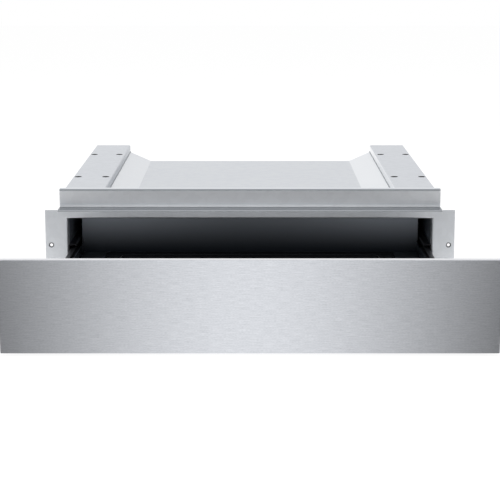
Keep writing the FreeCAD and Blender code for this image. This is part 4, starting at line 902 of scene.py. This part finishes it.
@dataclass
class WarmingPan(SubAssembly):
    """The drawer's pan: deck, glass plate with its printed zone, heater and mat. Sizes in millimetres."""

    FINISHES = {ENAMEL: ("drawer_pan", "drawer_deck"), WALL_ENAMEL: ("drawer_rear_wall",),
                GLASS: ("glass_plate",), SILICONE: ("glass_seal",),
                ELEMENT: ("heating_element", "sensor_bulb"), PLASTIC: ("thermal_cutout",),
                ZINC: ("heater_supports", "drawer_fasteners", "latch_striker")}

    zone_inset: float = 22.0
    zone_corner: float = 14.0
    line_width: float = 1.2
    ink: float = 0.03

    def build(self) -> None:
        """Adds the zone's printed line and the mat."""
        low, high = box_mm("glass_plate")
        shape = bmesh.new()
        x, y, _ = (low + high) / 2
        place = Matrix.LocRotScale((x, y, high.z), None, high - low - 2 * Vector([self.zone_inset] * 3))
        bmesh.ops.create_grid(shape, x_segments=1, y_segments=1, size=0.5, matrix=place)
        bmesh.ops.bevel(shape, geom=shape.verts[:], offset=self.zone_corner, segments=8, profile=0.5,
                        affect="VERTICES", material=-1)
        line = bmesh.ops.inset_region(shape, faces=shape.faces[:], thickness=self.line_width,
                                      use_even_offset=True, use_boundary=True)
        inner = [face for face in shape.faces if face not in line["faces"]]
        bmesh.ops.delete(shape, geom=inner, context="FACES")
        swept(shape, bmesh.ops.extrude_face_region(shape, geom=shape.faces[:]), (0, 0, self.ink))
        settled("zone_line", [shape], Body.DRAWER, GREY_PRINT, smooth=False)
        WoolMat("pan_insulation", Body.DRAWER, swell=0.3, soften=0.15).build()


@dataclass
class ControlStrip(SubAssembly):
    """Controls behind the front: knob with its scale, rocker switch and pilot lamp. Sizes in millimetres.

    Attributes:
        sweep: Turn from the first to the last figure, in degrees.
        groove: Depth of the knob's pointer groove.
        pivot_drop: How far the rocker's axis lies below the housing's face.
        rocker_lift: Height of the rocker's face over its axis, and rocker_tilt its slope, in degrees.
    """

    FINISHES = {PLASTIC: ("control_housing", "thermostat_body", "switch_body"),
                KNOB_PLASTIC: ("temperature_knob", "switch_rocker"), LENS: ("pilot_lens",)}

    figure_radius: float = 15.9
    figure_height: float = 2.1
    tick_from: float = 13.1
    tick_to: float = 14.3
    tick_width: float = 0.45
    ink: float = 0.03
    sweep: float = 270.0
    steps: int = 4
    groove: float = 0.5
    pointer_width: float = 1.0
    pointer_depth: float = 0.35
    pointer_from: float = 3.1
    pointer_to: float = 12.2
    pivot_drop: float = 1.0
    rocker_lift: float = 2.2
    rocker_tilt: float = 7.0
    mark_offset: float = 3.9
    mark_height: float = 3.4

    def scale(self, middle: Vector, top: float) -> None:
        """Adds ticks and figures round the knob.

        Args:
            middle: Middle of the knob.
            top: Height of the housing's face.
        """
        shapes = []
        half = self.tick_width / 2
        for step in range(self.steps + 1):
            turn = math.radians(-self.sweep * step / self.steps)
            spin = Matrix.Translation((middle.x, middle.y, top)) @ Matrix.Rotation(turn, 4, "Z")
            tick = bar((-half, self.tick_from, 0), (half, self.tick_to, self.ink))
            bmesh.ops.transform(tick, matrix=spin, verts=tick.verts)
            place = spin @ Matrix.Translation((0, self.figure_radius, self.ink / 2))
            upright = Matrix.Rotation(-turn, 4, "Z")
            shapes += [tick, lettering(str(step), self.figure_height, self.ink, place @ upright)]
        settled("dial_scale", shapes, Body.DRAWER, PRINT, smooth=False)

    def pointer(self, middle: Vector, top: float) -> None:
        """Fills the knob's pointer groove with ink.

        Args:
            middle: Middle of the knob.
            top: Height of its face.
        """
        half, foot = self.pointer_width / 2, top - self.groove
        line = bar((middle.x - half, middle.y + self.pointer_from, foot),
                   (middle.x + half, middle.y + self.pointer_to, foot + self.pointer_depth))
        settled("pointer_line", [line], Body.KNOB, PRINT, smooth=False)

    def rocker_marks(self, middle: Vector, pivot: float) -> None:
        """Adds the marks for on and off to the rocker.

        Args:
            middle: Middle of the switch.
            pivot: Height of the rocker's axis.
        """
        slope = math.radians(self.rocker_tilt)
        tip = Matrix.Translation((middle.x, middle.y, pivot)) @ Matrix.Rotation(-slope, 4, "Y")
        rise = self.rocker_lift + self.mark_offset * math.tan(slope) + self.ink / 2
        marks = [lettering(text, self.mark_height, self.ink,
                           tip @ Matrix.Translation((side * self.mark_offset, 0, rise))
                           @ Matrix.Rotation(-side * slope, 4, "Y"))
                 for side, text in ((1, "I"), (-1, "O"))]
        settled("rocker_marks", marks, Body.ROCKER, PRINT, smooth=False)

    def build(self) -> None:
        """Adds the scale, the pointer and the rocker's marks."""
        knob_low, knob_high = box_mm("temperature_knob")
        switch_low, switch_high = box_mm("switch_body")
        face = box_mm("control_housing")[1].z
        self.scale((knob_low + knob_high) / 2, face)
        self.pointer((knob_low + knob_high) / 2, knob_high.z)
        self.rocker_marks((switch_low + switch_high) / 2, face - self.pivot_drop)


@dataclass
class CaseShell(SubAssembly):
    """The case: mounting frame, folded sheets, lined cavity and mats. Sizes in millimetres."""

    FINISHES = {FRAME_SHEET_PAINTED_LIGHT_AND_SHADE: ("front_frame",), CROSSBAR_SHEET_PAINTED_LIGHT_AND_SHADE: ("front_crossbar",),
                SHEET: ("base_plate", "rear_panel", "terminal_cover"), COVER_PAINTED_LIGHT: ("top_cover",),
                SHEET_ALONG: ("left_side_panel", "right_side_panel", "left_support_rail"),
                RIGHT_RAIL_PAINTED_LIGHT: ("right_support_rail",), LINER_ENAMEL_PAINTED_LIGHT: ("cavity_liner", "rear_bulkhead"),
                ZINC: ("case_fasteners",)}

    sheet: float = 1.0  # thickness
    # spot welds on the side panels
    weld_radius: float = 2.6
    weld_height: float = 0.25
    weld_round: float = 0.2
    weld_sides: int = 20
    weld_heights: tuple[float, ...] = (18.0, 46.0, 74.0, 98.0)
    weld_x: float = 273.2
    # holes of the support rails, and the black sleeves in them, which are painted shade inside the holes
    hole_radius: float = 5.0
    hole_outset: float = 6.6
    hole_spacing: Pair = (42.0, 255.0)
    hole_first: float = 147.5
    eyelet_wall: float = 0.12
    eyelet_barrel: float = 3.0
    eyelet_rim: float = 0.6
    eyelet_lip: float = 0.1
    eyelet_fit: float = 0.02
    # grey beads along the rails' feet, which are painted shade on the seam where the cover meets each rail
    bead_width: float = 0.9
    bead_lap: float = 0.3
    bead_drop: float = 1.2
    bead_rise: float = 0.6
    bead_short: float = 1.0
    bead_round: float = 0.3
    # screw holes of the frame, and the radii and depths of the dark rings in them, which are painted shade
    screw_hole: Pair = (286.7, 54.2)
    grommet: Pair = (2.3, 3.4)
    grommet_depths: Pair = (0.05, 0.55)
    # flare of the crossbar's foot
    flare_gap: float = 0.25
    flare_drop: float = 5.5
    flare_radius: float = 34.0
    flare_steps: int = 6
    flare_inset: float = 0.4
    flare_proud: float = 0.02
    # welds that fill the frame's corners
    fill_x: Pair = (276.7, 281.4)
    fill_depth: float = 5.0
    fill_thick: float = 1.4
    fill_inset: float = 0.05

    def eyelets(self) -> None:
        """Adds thin black sleeves that line the holes of the support rails, as painted shade inside them."""
        edge = box_mm("right_support_rail")[1]
        top = edge.z
        inner, barrel = self.hole_radius - self.eyelet_wall, self.hole_radius - self.eyelet_fit
        outer, foot = self.hole_radius + self.eyelet_rim, top - self.eyelet_barrel
        lip, seat = top + self.eyelet_lip, top + self.eyelet_fit
        profile = [(inner, foot), (inner, lip), (outer, lip), (outer, seat), (barrel, seat), (barrel, foot)]
        x, y = edge.x - self.hole_outset, self.hole_first
        rings = [ring(profile, Matrix.Translation((side * across, along, 0)))
                 for side in (-1, 1) for across in (x, x - self.hole_spacing[0])
                 for along in (y, y + self.hole_spacing[1])]
        settled("rail_hole_shade_sleeves", rings, Body.CASE, HOLE_SHADE_BLACK)

    def foot_flare(self) -> None:
        """Adds the flare by which the crossbar's foot runs out onto the ledge."""
        low, high = box_mm("front_crossbar")
        foot, drop = low.z + self.flare_gap, self.flare_drop - self.flare_gap
        line = [(low.y + self.flare_inset, foot), (low.y + self.flare_inset, foot + drop)]
        for step in range(self.flare_steps + 1):
            fall = drop * step / self.flare_steps
            run = self.flare_radius - math.sqrt(self.flare_radius ** 2 - fall ** 2)
            line.append((low.y - self.flare_proud - run, foot + drop - fall))
        shape = bmesh.new()
        end = shape.faces.new([shape.verts.new((low.x + self.flare_inset, y, z)) for y, z in line])
        length = high.x - low.x - 2 * self.flare_inset
        swept(shape, bmesh.ops.extrude_face_region(shape, geom=[end]), (length, 0, 0))
        settled("crossbar_foot_flare", [shape], Body.CASE, FLARE_SHEET_PAINTED_LIGHT)

    def corner_welds(self) -> None:
        """Adds the ground welds that fill the frame's bend reliefs."""
        low, high = box_mm("front_frame")
        front, top = low.y + self.fill_inset, high.z - self.fill_inset
        spans = [sorted(side * x for x in self.fill_x) for side in (-1, 1)]
        welds = [bar((left, front, high.z - self.fill_depth), (right, low.y + self.fill_thick, top))
                 for left, right in spans]
        # The welds take the crossbar's lit copy of the sheet, with its painted light and shade.
        settled("frame_corner_welds", welds, Body.CASE, CROSSBAR_SHEET_PAINTED_LIGHT_AND_SHADE)

    def foot_beads(self) -> None:
        """Adds grey beads along the feet of both rails, where the cover meets them, as painted shade on that
        seam.
        """
        beads = []
        for name, side in (("left_support_rail", 1), ("right_support_rail", -1)):
            low, high = box_mm(name)
            web = high.x if side > 0 else low.x
            left, right = sorted((web - side * self.bead_lap, web + side * self.bead_width))
            beads.append(bar((left, low.y + self.bead_short, low.z - self.bead_drop),
                             (right, high.y - self.bead_short, low.z + self.bead_rise), self.bead_round))
        settled("rail_foot_beads", beads, Body.CASE, PALE_GREY_SHADE_BEAD)

    def grommets(self) -> None:
        """Adds the thin dark rings that line both screw holes of the frame, as painted shade inside them."""
        (inner, outer), (start, end) = self.grommet, self.grommet_depths
        profile = [(inner, start), (outer, start), (outer, end), (inner, end)]
        x, z = self.screw_hole
        front = box_mm("front_frame")[0].y
        rings = [ring(profile, Matrix.Translation((side * x, front, z)) @ FACE_REAR) for side in (-1, 1)]
        settled("frame_hole_shade_rings", rings, Body.CASE, SILICONE)

    def spot_welds(self) -> None:
        """Adds the welds that hold the side panels to the frame."""
        rear = box_mm("left_side_panel")[0].y + self.sheet
        welds = [disc(self.weld_radius, self.weld_height, self.weld_round,
                      Matrix.Translation((side * self.weld_x, rear, z)) @ FACE_REAR, self.weld_sides)
                 for side in (-1, 1) for z in self.weld_heights]
        settled("spot_welds", welds, Body.CASE, SHEET)

    def build(self) -> None:
        """Adds the fittings and welds, and the mats round the cavity."""
        self.eyelets()
        self.foot_flare()
        self.corner_welds()
        self.foot_beads()
        self.grommets()
        self.spot_welds()
        for name in ("ceiling_insulation", "left_side_insulation", "right_side_insulation"):
            WoolMat(name, Body.CASE, swell=0.4, soften=0.18).build()


@dataclass
class CoiledLead(SubAssembly):
    """Retractile lead from the drawer to the bulkhead, wound closer towards its ends. Sizes in millimetres.

    Attributes:
        wire: Radius of the lead.
        gap: Clearance round the coil.
        points: Points on each turn.
        fill: Share of the closest winding that still fits when the drawer is shut.
        travel: Travel of the drawer.
        steps: Steps along the lead in which the place of each point is found.
    """

    wire: float = 1.2
    gap: float = 0.05
    points: int = 12
    fill: float = 0.8
    travel: float = 395.0
    steps: int = 4800

    def turns_up_to(self, share: float, length: float) -> float:
        """Counts the turns from the drawer's end to a point of the lead.

        Args:
            share: Place along the lead, from 0 at the drawer to 1 at the bulkhead.
            length: Length of the lead at rest.

        Returns:
            Number of turns that still lie clear of each other when the drawer is shut.
        """
        eased = share * share * (3 - 2 * share)
        return self.fill * (length * share - self.travel * eased) / (2 * self.wire)

    def build(self) -> None:
        """Builds the coil between the drawer and the case."""
        low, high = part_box("retractile_lead")
        middle = (low + high) / 2
        length = (high.y - low.y) / MM
        coil = (high.x - low.x) / 2 / MM - self.wire - self.gap
        count = round(self.turns_up_to(1.0, length) * self.points)
        curve = bpy.data.curves.new("coiled_lead", "CURVE")
        curve.dimensions = "3D"
        curve.bevel_depth = self.wire
        curve.bevel_resolution = 2
        curve.use_fill_caps = True
        spline = curve.splines.new("NURBS")
        spline.points.add(count)
        share = 0.0
        for index in range(count + 1):
            turns = index / self.points
            while share < 1.0 and self.turns_up_to(share, length) < turns:
                share += 1.0 / self.steps
            angle = 2 * math.pi * turns
            x, z = middle.x / MM + coil * math.cos(angle), middle.z / MM + coil * math.sin(angle)
            y = low.y / MM + self.wire + min(share, 1.0) * (length - 2 * self.wire)
            spline.points[index].co = (x, y, z, 1.0)
        spline.order_u = 3
        spline.use_endpoint_u = True
        lead = settled("coiled_lead", [from_curve(curve)], None, RUBBER)
        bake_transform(lead)
        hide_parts("retractile_lead")


class SlideSet(SubAssembly):
    """The telescopic rails and their ball cages."""

    FINISHES = {BLACK_ZINC: tuple(name for name in frame["nodes"]
                                  if name.endswith(("_rail", "_cage")) and "support" not in name)}


class MainsAndLatch(SubAssembly):
    """What sits at the back: latch, terminal block, gland and leads."""

    FINISHES = {PLASTIC: ("latch_body", "lead_clip", "cable_gland"), KNOB_PLASTIC: ("latch_plunger",),
                RUBBER: ("lead_grommet", "supply_wires"), WHITE_PLASTIC: ("terminal_block",)}


# ---------------------------------------------------------------- studio
@dataclass(frozen=True)
class Lamp:
    """A soft box that doesn't show in gloss.

    Attributes:
        name: Its name.
        size: Its width and height, in metres.
        power: Its power, in watts.
        place: Its middle, in metres.
        target: The point that it faces.
    """

    name: str
    size: Pair
    power: float
    place: Triple
    target: Triple

    def hang(self) -> None:
        """Hangs the lamp."""
        light = bpy.data.lights.new(self.name, "AREA")
        light.shape = "RECTANGLE"
        light.size, light.size_y = self.size
        light.energy = self.power
        holder = in_scene(self.name, light)
        holder.location = self.place
        holder.rotation_euler = (Vector(self.target) - Vector(self.place)).to_track_quat("-Z", "Y").to_euler()
        holder.visible_glossy = False


@dataclass(frozen=True)
class Card:
    """A glowing card that only shows in gloss.

    Attributes:
        name: Its name.
        line: Points of the bent line at its one side, in metres.
        sweep: Way from there to its other side.
        tone: Strength of its glow, where 1 is white, or None for the graduated glow.
    """

    name: str
    line: tuple[Triple, ...]
    sweep: Triple
    tone: float | None = None


@dataclass
class Studio:
    """Floor, lamps, camera, and cards that only show in gloss. Places and sizes in metres.

    Attributes:
        tilt: Angle that the camera looks down by, in degrees.
        lens: Focal length, in millimetres, and sensor is the sensor's width.
        ambient: Strength of the white surroundings for soft light; to the eye they are white.
        floor_light: Tone of the floor for soft light; floor_tone and floor_glow are what the eye sees.
        glow_x: Where the graduated glow is strongest, from side to side.
        fan_y: Point that it fans out from, and fade has the slopes between which it fades.
        glows: Its strongest and weakest strength, where 1 is white.
    """

    camera_y: float = -2.2321
    camera_z: float = 0.48565
    tilt: float = 11.134
    lens: float = 113.22
    sensor: float = 36.0
    clip: Pair = (0.05, 60.0)
    lamps: tuple[Lamp, ...] = (
        Lamp("overhead", (2.4, 2.0), 30.0, (0.0, -0.1, 2.2), (0.0, 0.1, 0.0)),
        Lamp("front", (2.2, 0.3), 9.0, (0.0, -2.6, 0.35), (0.0, 0.0, 0.08)),
        Lamp("left", (1.2, 1.2), 8.0, (-2.4, -0.2, 0.9), (0.0, 0.2, 0.1)))
    ambient: float = 0.55
    floor_size: float = 14.0
    floor_light: float = 0.8
    floor_tone: float = 0.2
    floor_glow: float = 0.88
    cards: tuple[Card, ...] = (
        Card("graduated_card", ((-2.4, -0.4, 0.0015), (-2.4, -1.0, 0.0015), (-2.4, -1.0, 0.32)),
             (4.8, 0.0, 0.0)),
        Card("soft_card", ((-1.5, -2.6, 0.46), (-1.5, -2.6, 0.86)), (3.0, 0.0, 0.0), 1.8),
        Card("grey_flag", ((1.3, -1.6, 0.0015), (1.3, 2.4, 0.0015)), (0.0, 0.0, 1.2), 0.35))
    glow_x: float = -0.004
    fan_y: float = 1.395
    fade: Pair = (0.0, 0.24)
    glows: Pair = (1.22, 0.0)

    def seen_rays(self, nodes: Nodes) -> Socket:
        """Tells the rays that show the background from those that only carry light.

        Args:
            nodes: Nodes of the floor or the world.

        Returns:
            1 for camera, glossy and transmission rays.
        """
        rays = nodes.add("LightPath")
        seen = rays["Is Camera Ray"]
        for kind in ("Is Glossy Ray", "Is Transmission Ray"):
            seen = nodes.add("Math", {0: seen, 1: rays[kind]}, operation="MAXIMUM")[0]
        return seen

    def world(self) -> None:
        """Makes white surroundings, plain for soft light."""
        world = bpy.data.worlds.new("studio")
        nodes = Nodes(world)
        inputs = {"Value": self.seen_rays(nodes), "To Min": self.ambient, "To Max": 1.0}
        strength = nodes.add("MapRange", inputs)[0]
        light = nodes.add("Background", {"Color": "#FFFFFF", "Strength": strength})
        nodes.add("OutputWorld", {"Surface": light[0]})
        bpy.context.scene.world = world

    def stand(self, name: str, shape: Shape) -> tuple[bpy.types.Object, Nodes]:
        """Sets up a piece of the studio.

        Args:
            name: Its name and its material's.
            shape: Its shape; it is freed.

        Returns:
            The piece and the nodes of its material, which is still empty.
        """
        material = bpy.data.materials.new(name)
        mesh = bpy.data.meshes.new(name)
        shape.to_mesh(mesh)
        shape.free()
        mesh.materials.append(material)
        piece = in_scene(name, mesh)
        return piece, Nodes(material)

    def floor(self) -> None:
        """Makes the pale floor, white to the eye, with the drawer's shadow kept."""
        shape = bmesh.new()
        bmesh.ops.create_grid(shape, x_segments=1, y_segments=1, size=self.floor_size / 2)
        nodes = self.stand("studio_floor", shape)[1]
        matt, faint = (nodes.add("BsdfDiffuse", {"Color": (tone,) * 3 + (1.0,)})[0]
                       for tone in (self.floor_light, self.floor_tone))
        glow = nodes.add("Emission", {"Strength": self.floor_glow})[0]
        shown = nodes.add("AddShader", {0: faint, 1: glow})[0]
        mixed = nodes.add("MixShader", {0: self.seen_rays(nodes), 1: matt, 2: shown})
        nodes.add("OutputMaterial", {"Surface": mixed[0]})

    def hang(self, card: Card) -> None:
        """Hangs a card so that only gloss shows it and no lamp sampling aims at it.

        Args:
            card: The card.
        """
        shape = bmesh.new()
        points = [shape.verts.new(point) for point in card.line]
        edges = [shape.edges.new(pair) for pair in zip(points, points[1:])]
        swept(shape, bmesh.ops.extrude_edge_only(shape, edges=edges), card.sweep)
        sheet, nodes = self.stand(card.name, shape)
        sheet.active_material.cycles.emission_sampling = "NONE"
        strength = self.graduated(nodes) if card.tone is None else card.tone
        glow = nodes.add("Emission", {"Strength": strength})[0]
        nodes.add("OutputMaterial", {"Surface": glow})
        for rays in ("camera", "diffuse", "transmission", "shadow"):
            setattr(sheet, f"visible_{rays}", False)

    def graduated(self, nodes: Nodes) -> Socket:
        """Gives a glow that fans out and fades to both sides.

        Args:
            nodes: Nodes of the card.

        Returns:
            Strength of the glow.
        """
        parts = nodes.add("SeparateXYZ", {"Vector": nodes.add("TexCoord")["Object"]})
        across = nodes.add("Math", {0: parts["X"], 1: self.glow_x}, operation="SUBTRACT")
        side = nodes.add("Math", {0: across[0]}, operation="ABSOLUTE")
        reach = nodes.add("Math", {0: self.fan_y, 1: parts["Y"]}, operation="SUBTRACT")
        slope = nodes.add("Math", {0: side[0], 1: reach[0]}, operation="DIVIDE")
        (start, end), (strong, weak) = self.fade, self.glows
        inputs = {"Value": slope[0], "From Min": start, "From Max": end, "To Min": strong, "To Max": weak}
        return nodes.add("MapRange", inputs, interpolation_type="SMOOTHSTEP")[0]

    def camera(self) -> None:
        """Sets the camera in front of the drawer, looking down on it."""
        data = bpy.data.cameras.new("camera")
        data.lens = self.lens
        data.sensor_width = self.sensor
        data.clip_start, data.clip_end = self.clip
        holder = in_scene("camera", data)
        holder.location = (0.0, self.camera_y, self.camera_z)
        holder.rotation_euler = (math.radians(90.0 - self.tilt), 0.0, 0.0)
        bpy.context.scene.camera = holder

    def build(self) -> None:
        """Sets the whole studio up."""
        self.world()
        self.floor()
        for card in self.cards:
            self.hang(card)
        for lamp in self.lamps:
            lamp.hang()
        self.camera()
        bpy.context.scene.view_settings.view_transform = "Standard"
        LOG.info("studio: world, floor, cards, lamps and camera")


def main() -> None:
    """Builds and dresses the drawer and sets the studio up."""
    logging.basicConfig(level=logging.INFO, format="%(message)s")
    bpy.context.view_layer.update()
    for make in (FrontUnit, WarmingPan, ControlStrip, CaseShell, CoiledLead, SlideSet, MainsAndLatch):
        unit = make()
        unit.build()
        unit.dress()
    Studio().build()


if __name__ == "__main__":
    main()
